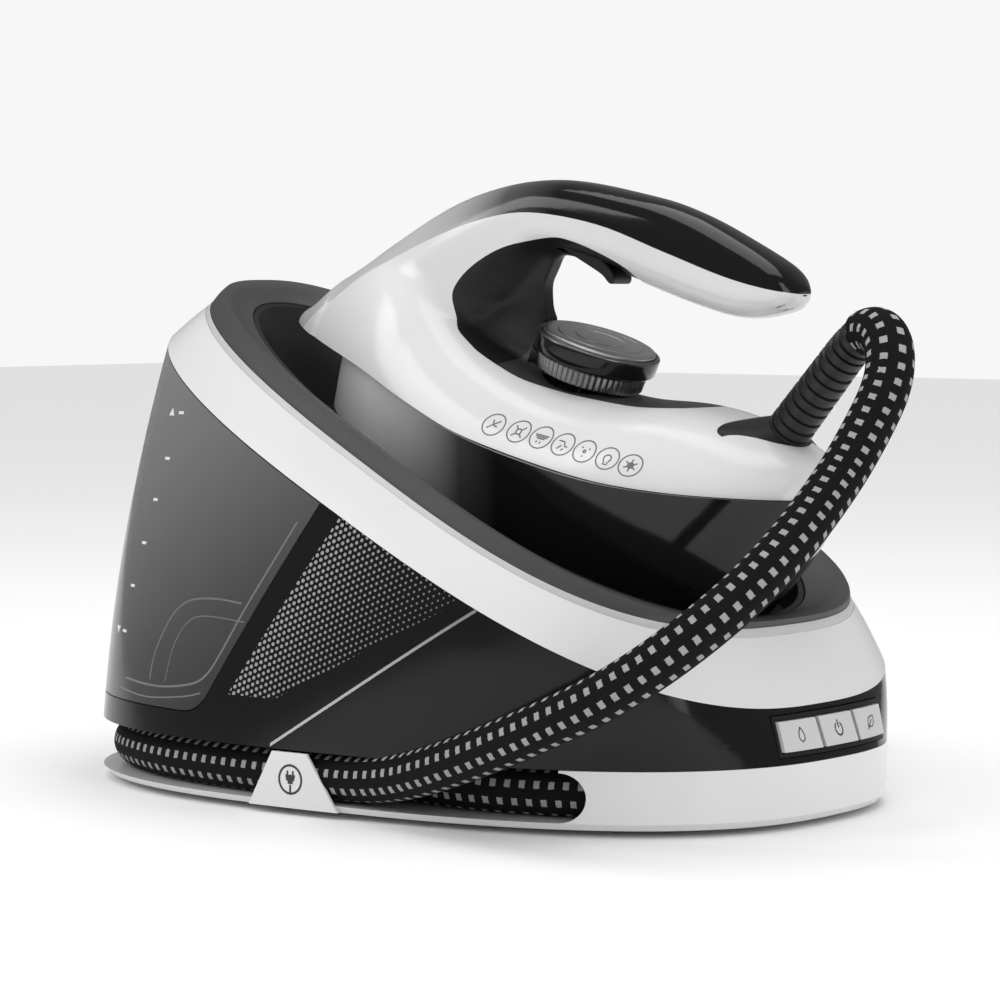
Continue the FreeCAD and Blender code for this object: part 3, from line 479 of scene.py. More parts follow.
# grip stations: (outer s, outer h, inner s, inner h, half width)
GRIP = [(-107, 66, -48, 52, 24), (-90, 88, -22, 76, 24), (-56.6, 122.7, -9, 100, 22),
        (-16.5, 146.3, -3.9, 114.8, 20), (33, 157.7, 31.6, 120.3, 19), (61.8, 160.4, 76.7, 123.3, 18.5),
        (90.4, 158.9, 103.1, 127.4, 17.5), (113, 156, 121, 137, 14.5), (125.5, 150.5, 126.5, 144, 5)]
# the shell in plan: half width, the station where it is widest, and the lengths from there to heel and nose
SHELL_HALF = 61.0
SHELL_WIDEST = 58.0
HEEL_LENGTH = 116.0
HEEL_SQUARENESS = 2.8
NOSE_LENGTH = 194.0
# the dome's flat underside, which steps up under the nose
DOME_FLOOR = 12.0
NOSE_FLOOR = 28.0
NOSE_END = -105.0


def spline_values(rows, count):
    """Catmull-Rom through rows of numbers, count steps per span."""
    out = []
    for i in range(len(rows) - 1):
        p0 = rows[max(i - 1, 0)]
        p1 = rows[i]
        p2 = rows[i + 1]
        p3 = rows[min(i + 2, len(rows) - 1)]
        for step in range(count):
            t = step / count
            out.append(tuple(0.5 * (2 * b + (c - a) * t + (2 * a - 5 * b + 4 * c - d) * t * t
                                    + (3 * b - a - 3 * c + d) * t * t * t)
                             for a, b, c, d in zip(p0, p1, p2, p3)))
    out.append(tuple(float(v) for v in rows[-1]))
    return out


def shell_half_width(s):
    """Half width of the shell in plan: square at the heel, pointed at the nose."""
    if s > SHELL_WIDEST:
        u = min((s - SHELL_WIDEST) / HEEL_LENGTH, 1.0)
        return SHELL_HALF * (1.0 - u ** HEEL_SQUARENESS) ** (1.0 / HEEL_SQUARENESS)
    u = min((SHELL_WIDEST - s) / NOSE_LENGTH, 1.0)
    return SHELL_HALF * (1.0 - u * u) ** 0.6


def dome_rows(inset=0.0, grow=0.0, sides=40):
    """Arched sections of the iron's lower body; inset thins them, and grow takes them further down."""
    rows = []
    for s, top in spline_values(SHELL_TOPS, 5):
        half = max(shell_half_width(s) - inset, 0.6)
        top -= inset
        bottom = (DOME_FLOOR if s > NOSE_END else NOSE_FLOOR) - grow
        row = []
        for i in range(sides):
            angle = math.pi * i / (sides - 1)
            row.append(iron_point(s, half * power(math.cos(angle), 0.8),
                                  bottom + (top - bottom) * math.sin(angle) ** 0.8))
        rows.append(row)
    return rows


def grip_rows(inset=0.0, sides=32):
    """Rounded sections of the front pillar and the grip."""
    rows = []
    for s0, h0, s1, h1, half in spline_values(GRIP, 7):
        shrink = max(1.0 - 2.0 * inset / math.hypot(s0 - s1, h0 - h1), 0.1)
        row = []
        for i in range(sides):
            angle = math.tau * i / sides
            along = power(math.cos(angle), 0.84)
            across = power(math.sin(angle), 0.84)
            row.append(iron_point((s0 + s1) / 2 + (s0 - s1) / 2 * along * shrink,
                                  max(half - inset, 0.8) * across,
                                  (h0 + h1) / 2 + (h0 - h1) / 2 * along * shrink))
        rows.append(row)
    return rows


def prism(name, outline, half_width=90.0, material=WHITE):
    """Closed solid: an (s, h) outline pushed out both ways along Y."""
    rows = [[iron_point(s, y, h) for s, h in outline] for y in (-half_width, half_width)]
    return grid_mesh(name, rows, material)


def below(line, floor, step):
    """Outline of all that lies under a line raised by a step, down to a floor."""
    return spline_values([(s, h + step) for s, h in line], 6) + [(line[-1][0], floor), (line[0][0], floor)]


def above(line, ceiling, margin=60.0):
    """Outline of all that lies over a line carried on level at both ends, up to a ceiling."""
    (first_s, first_h), (last_s, last_h) = line[0], line[-1]
    return spline_values(line, 6) + [(last_s + margin, last_h), (last_s + margin, ceiling),
                                     (first_s - margin, ceiling), (first_s - margin, first_h)]


def apply_modifiers(obj):
    """Turn what an object's modifiers make into its own mesh."""
    graph = bpy.context.evaluated_depsgraph_get()
    mesh = bpy.data.meshes.new_from_object(obj.evaluated_get(graph))
    obj.modifiers.clear()
    obj.data = mesh
    return obj


def boolean(obj, operation, *others):
    """Cut, join or intersect an object with others, one after another."""
    for other in others:
        modifier = obj.modifiers.new("boolean", "BOOLEAN")
        modifier.operation = operation
        modifier.object = other
        modifier.solver = "EXACT"
        modifier.material_mode = "TRANSFER"
        bpy.context.view_layer.update()
        apply_modifiers(obj)


def drop(*objects):
    for obj in objects:
        bpy.data.objects.remove(obj)


def copy_of(obj, name):
    twin = bpy.data.objects.new(name, obj.data.copy())
    bpy.context.scene.collection.objects.link(twin)
    return twin


def soften(obj, weights, rounds):
    """Smooth an object's points by weights of (index, weight), in so many rounds."""
    group = obj.vertex_groups.new(name="soft")
    for index, weight in weights:
        group.add([index], weight, "REPLACE")
    modifier = obj.modifiers.new("soften", "SMOOTH")
    modifier.vertex_group = "soft"
    modifier.factor = 0.5
    modifier.iterations = rounds
    apply_modifiers(obj)
    obj.vertex_groups.clear()


def soften_join(obj, first, second, reach, rounds):
    """Round the crease where two joined bodies meet, by smoothing the points that lie close to both."""
    trees = [BVHTree.FromPolygons([v.co for v in part.data.vertices],
                                  [p.vertices for p in part.data.polygons]) for part in (first, second)]
    far = [max(tree.find_nearest(vertex.co)[3] for tree in trees) for vertex in obj.data.vertices]
    soften(obj, [(i, 1.0 - value / reach) for i, value in enumerate(far) if value < reach], rounds)


def distance_to(line, s, h):
    """Shortest distance from (s, h) to a line."""
    best = math.inf
    for (s0, h0), (s1, h1) in zip(line, line[1:]):
        run = (s1 - s0) ** 2 + (h1 - h0) ** 2
        t = min(max(((s - s0) * (s1 - s0) + (h - h0) * (h1 - h0)) / run, 0.0), 1.0)
        best = min(best, math.hypot(s - s0 - t * (s1 - s0), h - h0 - t * (h1 - h0)))
    return best


def circle_round(centre, axis, depth, radius, sides=72):
    """Ring of points about an axis, a depth below its top, in millimetres."""
    across = axis.cross(Y_AXIS).normalized()
    side = axis.cross(across)
    middle = centre - axis * (depth * MM)
    angles = [math.tau * i / sides for i in range(sides)]
    return [middle + (across * math.cos(a) + side * math.sin(a)) * (radius * MM) for a in angles]


def cylinder(name, centre, axis, top, bottom, radius):
    rows = [circle_round(centre, axis, depth, radius) for depth in (top, bottom)]
    return grid_mesh(name, rows, BLACK_MATTE)


# the black insert: its edge round the dial's plate, up the inside of the front pillar and under the grip; the
# edge of the hand's opening; and the outlines that close it at the back and fill the corner of the pillar
INSERT_EDGE = [(96, 82.5), (80, 76.3), (65, 71.6), (46, 67), (31, 64.6), (14, 63.2), (-6.8, 64.1),
               (-19, 66.2), (-30.3, 70.2), (-37.3, 77.8), (-38.3, 86), (-32, 99), (-19, 113), (1, 125),
               (14, 128), (29.6, 128.3), (42, 127), (50, 123.5), (56, 118)]
OPENING_EDGE = [(56, 121), (31, 120), (17.5, 119), (6, 118), (0.4, 116.5), (-4, 109.8), (-3.8, 102.7),
                (0, 96), (8, 88), (18, 78), (26, 66)]
INSERT_BACK = [(56, 106), (112, 106), (112, 90)]
INSERT_FILL = [(-30, 68), (-30, 90), (-18, 112), (-4, 119), (-3.5, 110), (-5, 100), (0, 90), (12, 79),
               (18, 68)]
FILL_HALF = 11.0
# how far the insert is dished, where that begins above the plate, and the height it takes to come in full
DISH_SHARE = 0.58
DISH_START = 70.0
DISH_RUN = 16.0
PLATE_ZONE = [(-8, 40), (120, 40), (120, 100), (14, 100)]
TRIGGER_POCKET = [(-8.6, 119.6), (4, 118.2), (16, 116.9), (35.8, 112), (35.8, 130.5), (-8.6, 130.5)]
POCKET_HALF = 7.8
TRIGGER = [(-6, 121), (4, 119.6), (16, 118.4), (26, 117.2), (31, 115.2), (33.2, 115.8), (33.2, 118.5),
           (30, 121.5), (22, 124), (10, 126), (-6, 127)]
TRIGGER_HALF = 7.0
SKIRT_GAP = 0.25
VOXEL_SIZE = 0.0013

# axes of the dial and of the hose's strain relief
DIAL_TILT = math.radians(19.0)
DIAL_CENTRE = iron_point(31.5, 0.0, 89.1)
DIAL_AXIS = Vector((math.sin(DIAL_TILT), 0.0, math.cos(DIAL_TILT)))
DIAL_RADIUS = 28.7
DIAL_GAP = 0.8
BOOT_START = Vector((157.0, 0.0, 160.0)) * MM
BOOT_TIP = Vector((194.0, -5.0, 199.5)) * MM
BOOT_AXIS = (BOOT_TIP - BOOT_START).normalized()


def iron_body():
    """One blended body of dome, grip and filled corner, from which the iron's outer pieces are cut."""
    dome = grid_mesh("dome", dome_rows(), WHITE)
    grip = grid_mesh("grip", grip_rows(), WHITE)
    fill = prism("fill", INSERT_FILL, FILL_HALF)
    body = copy_of(dome, "iron_body")
    boolean(body, "UNION", grip, fill)
    voxels = body.modifiers.new("voxels", "REMESH")
    voxels.mode = "VOXEL"
    voxels.voxel_size = VOXEL_SIZE
    even = body.modifiers.new("even", "SMOOTH")
    even.factor = 0.5
    even.iterations = 8
    apply_modifiers(body)
    soften_join(body, dome, grip, 0.016, 90)
    drop(dome, grip, fill)
    return body


def dish(insert):
    """Press the insert's two sides in between its own edge and the edge of the hand's opening."""
    open_line = spline_values(OPENING_EDGE, 4)
    edge_line = spline_values(INSERT_EDGE, 4)
    weights = []
    for vertex in insert.data.vertices:
        s, y, h = iron_frame(vertex.co)
        out = distance_to(edge_line, s, h)
        into = distance_to(open_line, s, h)
        depth = out / max(out + into, 0.001)
        rise = min(max((h - DISH_START) / DISH_RUN, 0.0), 1.0)
        rise = rise * rise * (3.0 - 2.0 * rise)
        vertex.co.y = y * (1.0 - DISH_SHARE * rise * math.sin(depth * math.pi / 2.0) ** 1.4) * MM
        if out > 0.8 and h > 66.0:
            weights.append((vertex.index, min(out / 5.0, 1.0)))
    soften(insert, weights, 24)


shell = iron_body()
insert_zone = prism("insert_zone", spline_values(INSERT_EDGE, 5) + INSERT_BACK, 80.0)
insert = copy_of(shell, "handle_insert_visual")
boolean(insert, "INTERSECT", insert_zone)
dish(insert)
cover_zone = prism("cover_zone", above(COVER_LINE, 230.0))
cover = copy_of(shell, "handle_cover_visual")
boolean(cover, "INTERSECT", cover_zone)
plate_zone = prism("plate_zone", PLATE_ZONE, 80.0)
plate = copy_of(insert, "dial_plate_visual")
boolean(plate, "INTERSECT", plate_zone)
boolean(insert, "DIFFERENCE", plate_zone)

skirt_zone = prism("skirt_zone", below(SEAM_LINE, -30.0, SKIRT_GAP))
hollow_dome = grid_mesh("hollow_dome", dome_rows(2.5, 6.0), WHITE)
hollow_grip = grid_mesh("hollow_grip", grip_rows(3.4), WHITE)
dial_clear = cylinder("dial_clear", DIAL_CENTRE, DIAL_AXIS, -14.0, 21.0, DIAL_RADIUS + DIAL_GAP)
dial_room = cylinder("dial_room", DIAL_CENTRE, DIAL_AXIS, 18.0, 40.0, 21.0)
pocket = prism("pocket", TRIGGER_POCKET, POCKET_HALF)
boot_room = cylinder("boot_room", BOOT_START, BOOT_AXIS, -6.0, 18.5, 11.8)
boolean(shell, "DIFFERENCE", cover_zone, skirt_zone, insert_zone, hollow_dome, hollow_grip, dial_room,
        dial_clear, pocket, boot_room)
boolean(cover, "DIFFERENCE", insert_zone, hollow_grip, hollow_dome, skirt_zone)
boolean(insert, "DIFFERENCE", dial_clear, pocket, cover_zone)
boolean(plate, "DIFFERENCE", hollow_dome, dial_clear, dial_room)
drop(insert_zone, cover_zone, plate_zone, skirt_zone, hollow_dome, hollow_grip, dial_clear, dial_room, pocket,
     boot_room)
shell.name = "iron_shell_visual"
for piece, look, node_name, slot in ((shell, WHITE, "iron_shell", "white_shell"),
                                     (cover, COVER, "handle_cover", "black_shell"),
                                     (insert, BLACK_MATTE, "handle_insert", "black_matte"),
                                     (plate, PLATE_GREY, "dial_plate", "black_matte")):
    piece.data.materials.clear()
    piece.data.materials.append(look)
    smooth(piece, 40.0)
    stand_in(piece, "iron", slot, node_name)

trigger_outline = spline_values(TRIGGER + TRIGGER[:1], 4)[:-1]
trigger = prism("steam_trigger_visual", trigger_outline, TRIGGER_HALF, BLACK_MATTE)
edge = trigger.modifiers.new("edge", "BEVEL")
edge.width = 0.9 * MM
edge.segments = 3
edge.limit_method = "ANGLE"
apply_modifiers(trigger)
stand_in(smooth(trigger), "trigger", "black_matte", "steam_trigger")

# ---- temperature dial
# (depth below the dial's top, radius) of its turned pieces, in millimetres
KNOB = [(19.8, 21.5), (19.4, 23.6), (18.8, 24.4), (15.5, 24.8), (12.6, 25.2), (12.1, 25.6), (11.6, 26.6),
        (11.0, 27.5), (10.2, 28.1), (7.0, 28.4), (4.2, 28.6), (3.0, 28.6), (2.4, 28.2), (2.1, 27.5),
        (2.3, 26.9), (2.9, 26.6)]
CAP = [(2.6, 26.2), (1.4, 26.2), (0.8, 25.6), (0.6, 24.9), (0.55, 20.6), (0.9, 20.2), (0.9, 19.6),
       (0.5, 19.2), (0.42, 12.4), (0.7, 12.0), (0.7, 11.5), (0.35, 11.1), (0.25, 5.0), (0.2, 0.6)]
# the knob's knurl: how many ribs, how deep, on which rows of its profile, and the depths it lies between
RIBS = 54
RIB_DEPTH = 0.9
RIBBED_ROWS = (2, 3, 4)
RIBBED_TOP = 12.3
RIBBED_BOTTOM = 19.2
RIM_BOTTOM = 3.0


def lathe(name, profile, material, sides, ribbed=()):
    """Turned piece on the dial's axis; the ribbed rows of its profile carry the knurl."""
    rows = []
    for i, (depth, radius) in enumerate(profile):
        ring = circle_round(DIAL_CENTRE, DIAL_AXIS, depth, radius, sides)
        if i in ribbed:
            middle = DIAL_CENTRE - DIAL_AXIS * (depth * MM)
            wave = [1.0 - RIB_DEPTH / radius * (0.5 + 0.5 * math.cos(math.tau * j * RIBS / sides)) ** 2
                    for j in range(sides)]
            ring = [middle + (point - middle) * share for point, share in zip(ring, wave)]
        rows.append(ring)
    return grid_mesh(name, rows, material)


knob = lathe("dial_knob_visual", KNOB, BLACK_GLOSS, 4 * RIBS, RIBBED_ROWS)
knob.data.materials.append(DIAL_RIBS)
for polygon in knob.data.polygons:
    depth = (polygon.center - DIAL_CENTRE).dot(-DIAL_AXIS) / MM
    if RIBBED_TOP < depth < RIBBED_BOTTOM or (depth < RIM_BOTTOM and polygon.area < 1e-5):
        polygon.material_index = 1
stand_in(knob, "dial", "black_matte", "dial_knob")
stand_in(lathe("dial_cap_visual", CAP, DIAL_FACE, 180), "dial", "trim_grey", "dial_cap")

# ---- ring round the rest
RIM_POINTS = 200
RIM_ANGLES = [math.tau * (i + 0.5) / RIM_POINTS for i in range(RIM_POINTS)]
# shares of the ring's outer slope where the white and the trim end, and these seams' rise at the +X end
WHITE_END = 0.70
TRIM_END = 0.79
SEAM_RISE = 0.20
CROWN = 0.9


def rim_row(rim, inset, lift):
    return [rim_point(rim, angle, inset, lift) for angle in RIM_ANGLES]


def between(first, second, share):
    return [a.lerp(b, share) for a, b in zip(first, second)]


def band_row(share, lift=0.0):
    """A row on the ring's outer slope: share 0 at its lower edge, 1 at the rim of the rest."""
    low = rim_row(BAND_RIM, 0.0, lift + 0.2 * (1.0 - share))
    high = rim_row(DECK_RIM, 0.0, lift)
    rise = SEAM_RISE * min(share / TRIM_END, (1.0 - share) / (1.0 - TRIM_END))
    return [a.lerp(b, share + rise * max(math.cos(angle), 0.0) ** 3)
            for a, b, angle in zip(low, high, RIM_ANGLES)]


ring_foot = rim_row(BAND_RIM, 3.0, 0.2)
ring_rows = [ring_foot, band_row(0.0)]
ring_rows += [band_row(i / 10.0 * WHITE_END, CROWN * math.sin(math.pi * i / 10.0 * 0.9))
              for i in range(1, 11)]
ring_rows += [band_row(WHITE_END, -2.6), between(ring_foot, rim_row(DECK_RIM, 3.0, 0.0), 0.3)]
ring = grid_mesh("top_ring_visual", ring_rows, WHITE, closed_ring=True)
stand_in(ring, "base", "white_shell", "top_ring")
trim_rows = [band_row(WHITE_END + 0.004, -0.1), band_row(WHITE_END + 0.012, 0.45),
             band_row(TRIM_END - 0.01, 0.75), band_row(TRIM_END, 0.3), band_row(TRIM_END, -2.4),
             band_row(WHITE_END + 0.004, -2.4)]
trim = grid_mesh("ring_trim_visual", trim_rows, TRIM, closed_ring=True)
stand_in(trim, "base", "trim_grey", "ring_trim")
deck_in = rim_row(DECK_RIM, 9.0, -0.4)
tub_edge = rim_row(TUB_RIM, -3.1, -2.6)
deck_rows = [band_row(TRIM_END + 0.004, -2.0), band_row(TRIM_END + 0.006, 0.2), band_row(0.82, 1.5),
             band_row(0.86, 2.3), band_row(0.92, 2.9), band_row(1.0, 3.0), rim_row(DECK_RIM, 3.0, 2.7),
             rim_row(DECK_RIM, 6.0, 1.5), deck_in, between(deck_in, tub_edge, 0.5), tub_edge,
             rim_row(TUB_RIM, -3.1, -5.5), rim_row(DECK_RIM, 7.4, -5.6)]
deck = grid_mesh("rest_deck_visual", deck_rows, DECK, closed_ring=True)
stand_in(deck, "base", "deck_grey", "rest_deck")

# ---- printed signs and moulded lines
# the way into the object from each of its sides, and how far out a print's rays start
INTO = {"-Y": Y_AXIS, "+Y": -Y_AXIS, "+X": Vector((-1.0, 0.0, 0.0))}
RAY_START = 0.4
PRINT_THICKNESS = 0.3


def stroke(line, width, spacing=1.5):
    """Flat strip of a width along a line of (u, v) points, cut up so that it follows a curved face."""
    dense = [line[0]]
    for (u0, v0), (u1, v1) in zip(line, line[1:]):
        steps = max(int(math.hypot(u1 - u0, v1 - v0) / spacing), 1)
        dense += [(u0 + (u1 - u0) * i / steps, v0 + (v1 - v0) * i / steps) for i in range(1, steps + 1)]
    points = []
    for i, (u, v) in enumerate(dense):
        u0, v0 = dense[max(i - 1, 0)]
        u1, v1 = dense[min(i + 1, len(dense) - 1)]
        run = math.hypot(u1 - u0, v1 - v0) or 1.0
        side = (-(v1 - v0) / run * width / 2.0, (u1 - u0) / run * width / 2.0)
        points += [(u + side[0], v + side[1]), (u - side[0], v - side[1])]
    return points, [(2 * i, 2 * i + 1, 2 * i + 3, 2 * i + 2) for i in range(len(dense) - 1)]


def circle(radius, width, sides=40):
    """Flat ring of a width."""
    points = [(math.cos(math.tau * i / sides) * r, math.sin(math.tau * i / sides) * r)
              for i in range(sides) for r in (radius + width / 2.0, radius - width / 2.0)]
    last = 2 * sides
    faces = [(2 * i, 2 * i + 1, (2 * i + 3) % last, (2 * i + 2) % last) for i in range(sides)]
    return points, faces


def arc(radius, start, end, steps=14):
    angles = [math.radians(start + (end - start) * i / steps) for i in range(steps + 1)]
    return [(radius * math.cos(angle), radius * math.sin(angle)) for angle in angles]


def moved(shape, du, dv, turn=0.0, stretch=1.0):
    """The shape turned, stretched along u and then moved."""
    c = math.cos(turn)
    k = math.sin(turn)
    return [(du + (u * c - v * k) * stretch, dv + u * k + v * c) for u, v in shape[0]], shape[1]


def printed(name, shapes, side, target, material, lift=0.12):
    """Lay flat (u, v) shapes, in millimetres, on an object's outer face as a thin raised print."""
    tree = BVHTree.FromPolygons([target.matrix_world @ v.co for v in target.data.vertices],
                                [p.vertices for p in target.data.polygons])
    into = INTO[side]
    points = []
    faces = []
    for flat, corners in shapes:
        hits = []
        for u, v in flat:
            across = Vector((0.0, u, v)) if side == "+X" else Vector((u, 0.0, v))
            hits.append(tree.ray_cast(across * MM - into * RAY_START, into))
        if any(hit[0] is None for hit in hits):
            continue
        first = len(points)
        points += [tuple(place + (normal if normal.dot(into) < 0.0 else -normal) * (lift * MM))
                   for place, normal, _, _ in hits]
        faces += [tuple(first + corner for corner in face) for face in corners]
    mesh = bpy.data.meshes.new(name)
    mesh.from_pydata(points, [], faces)
    obj = new_object(name, mesh, material)
    flip = bmesh.new()
    flip.from_mesh(mesh)
    bmesh.ops.remove_doubles(flip, verts=flip.verts, dist=1e-6)
    for face in flip.faces:
        if face.normal.dot(into) > 0.0:
            face.normal_flip()
    flip.to_mesh(mesh)
    flip.free()
    thick = obj.modifiers.new("thick", "SOLIDIFY")
    thick.thickness = PRINT_THICKNESS * MM
    thick.offset = -1.0
    return apply_modifiers(obj)


# seven care signs along the iron's side: (s, h) of each centre, and its strokes
ICON_SPOTS = [(27.0, 46.3), (40.5, 48.8), (52.7, 51.2), (64.9, 53.2), (77.0, 55.2), (89.5, 57.3),
              (101.4, 59.2)]
ICON_STROKES = [
    [[(-2.2, -1.8), (0.4, 0.6), (2.2, 2.0)], [(-1.0, 2.0), (-0.2, 0.2)], [(1.8, -0.6), (0.2, -0.2)]],
    [arc(1.1, 0, 360), [(-2.2, 2.2), (-0.9, 0.9)], [(2.2, -2.2), (0.9, -0.9)], [(2.2, 2.2), (0.9, 0.9)],
     [(-2.2, -2.2), (-0.9, -0.9)]],
    [[(-3.0, 0.9), (3.0, 0.9)], [(-2.4, 0.2), (2.6, 0.2)], [(-1.6, -0.5), (1.8, -0.5)],
     [(-1.0, -1.6), (-1.0, -2.4)], [(0.6, -1.6), (0.6, -2.4)]],
    [[(-2.4, 1.2), (0.0, 1.2), (1.2, -0.6), (2.4, -0.6)], [(-1.6, -2.2), (-0.4, -0.4)],
     [(0.4, -2.4), (1.0, -1.6)]],
    [arc(0.5, 0, 360), [(-1.8, 1.6), (-1.4, 1.2)], [(1.8, 1.6), (1.4, 1.2)], [(0.0, -1.8), (0.0, -2.3)]],
    [arc(1.5, -50, 230), [(-0.8, -1.3), (-0.8, -2.5), (0.8, -2.5), (0.8, -1.3)]],
    [[(0.0, -2.6), (0.0, 2.6)], [(-2.3, -1.3), (2.3, 1.3)], [(-2.3, 1.3), (2.3, -1.3)], arc(1.1, 0, 360)],
]
ICON_TURN = -SOLE_TURN * 0.6
ICON_STRETCH = 1.22
icons = []
for (icon_s, icon_h), lines in zip(ICON_SPOTS, ICON_STROKES):
    at = iron_point(icon_s, 0.0, icon_h) / MM
    icons += [moved(shape, at.x, at.z, ICON_TURN, ICON_STRETCH)
              for shape in [circle(4.5, 0.45)] + [stroke(line, 0.5) for line in lines]]
stand_in(printed("care_signs", icons, "-Y", shell, INK_GREY), "iron", "black_matte")

# pilot light under the end of the grip
slot_at = iron_point(122.5, 0.0, 140.3) / MM
slot_shape = moved(stroke([(-1.6, -0.6), (1.6, 0.6)], 1.8), slot_at.x, slot_at.z)
pilot_light = printed("indicator_lens_visual", [slot_shape], "-Y", shell, INK_DARK)
stand_in(pilot_light, "iron", "lens", "indicator_lens")

# mains plug in a ring, on the hose's tab: (line, width) of each stroke
PLUG = (([(0.0, -6.0), (0.0, -2.4)], 1.0), ([(-1.5, 2.0), (-1.5, 3.8)], 0.9),
        ([(1.5, 2.0), (1.5, 3.8)], 0.9), ([(-2.6, 1.4), (2.6, 1.4)], 1.4),
        ([(-2.3, 0.1), (2.3, 0.1)], 1.4), ([(-1.4, -1.3), (1.4, -1.3)], 1.4))
plug = [moved(shape, -7.0, 15.8) for shape in [circle(6.2, 1.0)] + [stroke(*line) for line in PLUG]]
stand_in(printed("plug_sign", plug, "-Y", nodes["hose_clip_tab"], INK_DARK), "base", "black_matte")

# the keys' signs: a drop, the power sign and a leaf
DROP = [([(0.0, 3.3), (1.3, 1.4), (1.9, -0.4), (1.6, -1.9), (0.0, -2.8), (-1.6, -1.9), (-1.9, -0.4),
          (-1.3, 1.4), (0.0, 3.3)], 0.5)]
POWER = [(arc(2.7, 125, 415, 24), 0.7), ([(0.0, 0.4), (0.0, 3.8)], 0.7)]
LEAF = [([(-2.9, -2.0), (-2.7, 0.3), (-1.0, 2.1), (3.2, 2.6), (3.0, 0.2), (1.3, -1.8), (-2.9, -2.0)], 0.5),
        ([(-3.8, -3.0), (-2.9, -2.0), (1.2, 1.0)], 0.5)]
KEY_HEIGHT = 40.0
for key, key_y, lines in (("clean", -23.0, DROP), ("power", 5.0, POWER), ("eco", 33.0, LEAF)):
    shapes = [moved(stroke(*line), key_y, KEY_HEIGHT) for line in lines]
    sign = printed(key + "_sign", shapes, "+X", nodes["button_" + key], INK_DARK)
    stand_in(sign, key + "_key", "black_matte")

# the tank's level marks, (x, z) of each, with an arrowhead beside the highest and the lowest
LEVELS = [(-107.5, 172), (-113, 151), (-118, 132), (-123, 112), (-129, 92), (-132, 71)]
ARROW_UP = ([(-2.6, -1.6), (2.6, -1.6), (0.0, 2.0)], [(0, 1, 2)])
ARROW_DOWN = ([(-2.6, 1.6), (0.0, -2.0), (2.6, 1.6)], [(0, 1, 2)])
marks = [moved(stroke([(-2.2, 0.0), (2.2, 0.0)], 1.3), x, z) for x, z in LEVELS]
marks += [moved(ARROW_UP, LEVELS[0][0] - 9.0, LEVELS[0][1]),
          moved(ARROW_DOWN, LEVELS[-1][0] - 8.5, LEVELS[-1][1])]
stand_in(printed("level_scale", marks, "-Y", nodes["water_tank"], INK_PALE), "tank", "trim_grey")

# the edges inside the tank that show through its wall: (points, width) of each
TANK_LINES = (([(-15, 127), (-24, 113), (-41, 87), (-53.5, 67), (-61, 57.5), (-71, 52.5), (-95, 49.5),
                (-125, 50.5)], 1.0),
              ([(-129, 45.5), (-103, 44), (-76, 46.5), (-64, 49)], 0.7),
              ([(-102, 52), (-100, 64), (-90, 81), (-78, 89), (-60, 91), (-43, 90)], 0.8),
              ([(-90, 52), (-86, 68), (-78, 79), (-66, 83), (-40, 82)], 0.5))
tank_strokes = [stroke(spline_values(line, 5), width) for line, width in TANK_LINES]
for side, label in (("-Y", "near"), ("+Y", "far")):
    lines = printed("tank_lines_" + label, tank_strokes, side, nodes["water_tank"], TANK_LINE, 0.06)
    stand_in(lines, "tank", "tank_smoke")

# ---- steam hose
# control points of its route, from the base's outlet to the iron's strain relief, in millimetres
HOSE_ROUTE = [
    (124, -86.5, 16.6), (95, -98.8, 16.6), (60, -102, 16.6), (18, -96, 16.6), (-26, -94, 16.6),
    (-70, -90, 16.6), (-110, -75, 16.6), (-142, -46, 16.6), (-154, -2, 16.6), (-144, 44, 16.6),
    (-112, 75, 16.6), (-70, 93, 16.6), (-22, 99, 16.6), (26, 104, 16.6), (57, 126, 16.6), (72, 161, 12.5),
    (67, 198, 10.4), (43, 228, 10.4), (7, 241, 10.4), (-30, 233, 10.4), (-59, 208, 10.4),
    (-77, 174, 10.8), (-98, 139, 13.5), (-128, 110, 16.6), (-159, 79, 16.6), (-177, 38, 16.6),
    (-180, -8, 16.6), (-171, -54, 16.6), (-144, -91, 16.6), (-102, -111, 16.6), (-54, -117.8, 16.6),
    (-6, -118.5, 16.6), (40, -121.6, 18), (84, -132, 30.5), (128, -134, 48), (166, -130, 66),
    (199, -115, 92), (216, -88, 118), (221.5, -52, 149), (227, -38, 170), (230.6, -26.2, 189.7),
    (227.4, -19.8, 205.1), (216.4, -11.6, 212.4), (202.8, -6.2, 209), (194, -5, 199.5)]
HOSE_RADIUS = 0.01025
HOSE_STEP = 0.0021


def route_points(route, steps):
    """Points read from the NURBS spline that has the route's points as its control points."""
    curve = bpy.data.curves.new("route", "CURVE")
    curve.dimensions = "3D"
    spline = curve.splines.new("NURBS")
    spline.points.add(len(route) - 1)
    for point, place in zip(spline.points, route):
        point.co = (place[0] * MM, place[1] * MM, place[2] * MM, 1.0)
    spline.order_u = 3
    spline.use_endpoint_u = True
    spline.resolution_u = steps
    holder = bpy.data.objects.new("route", curve)
    mesh = bpy.data.meshes.new_from_object(holder)
    points = [v.co.copy() for v in mesh.vertices]
    bpy.data.meshes.remove(mesh)
    bpy.data.objects.remove(holder)
    bpy.data.curves.remove(curve)
    return points


def even_points(points, step):
    """The same line, with points a constant step apart."""
    result = [points[0].copy()]
    carried = 0.0
    for a, b in zip(points, points[1:]):
        length = (b - a).length
        place = step - carried
        while place <= length:
            result.append(a.lerp(b, place / length))
            place += step
        carried = length - (place - step)
    if (result[-1] - points[-1]).length > step * 0.4:
        result.append(points[-1].copy())
    else:
        result[-1] = points[-1].copy()
    return result


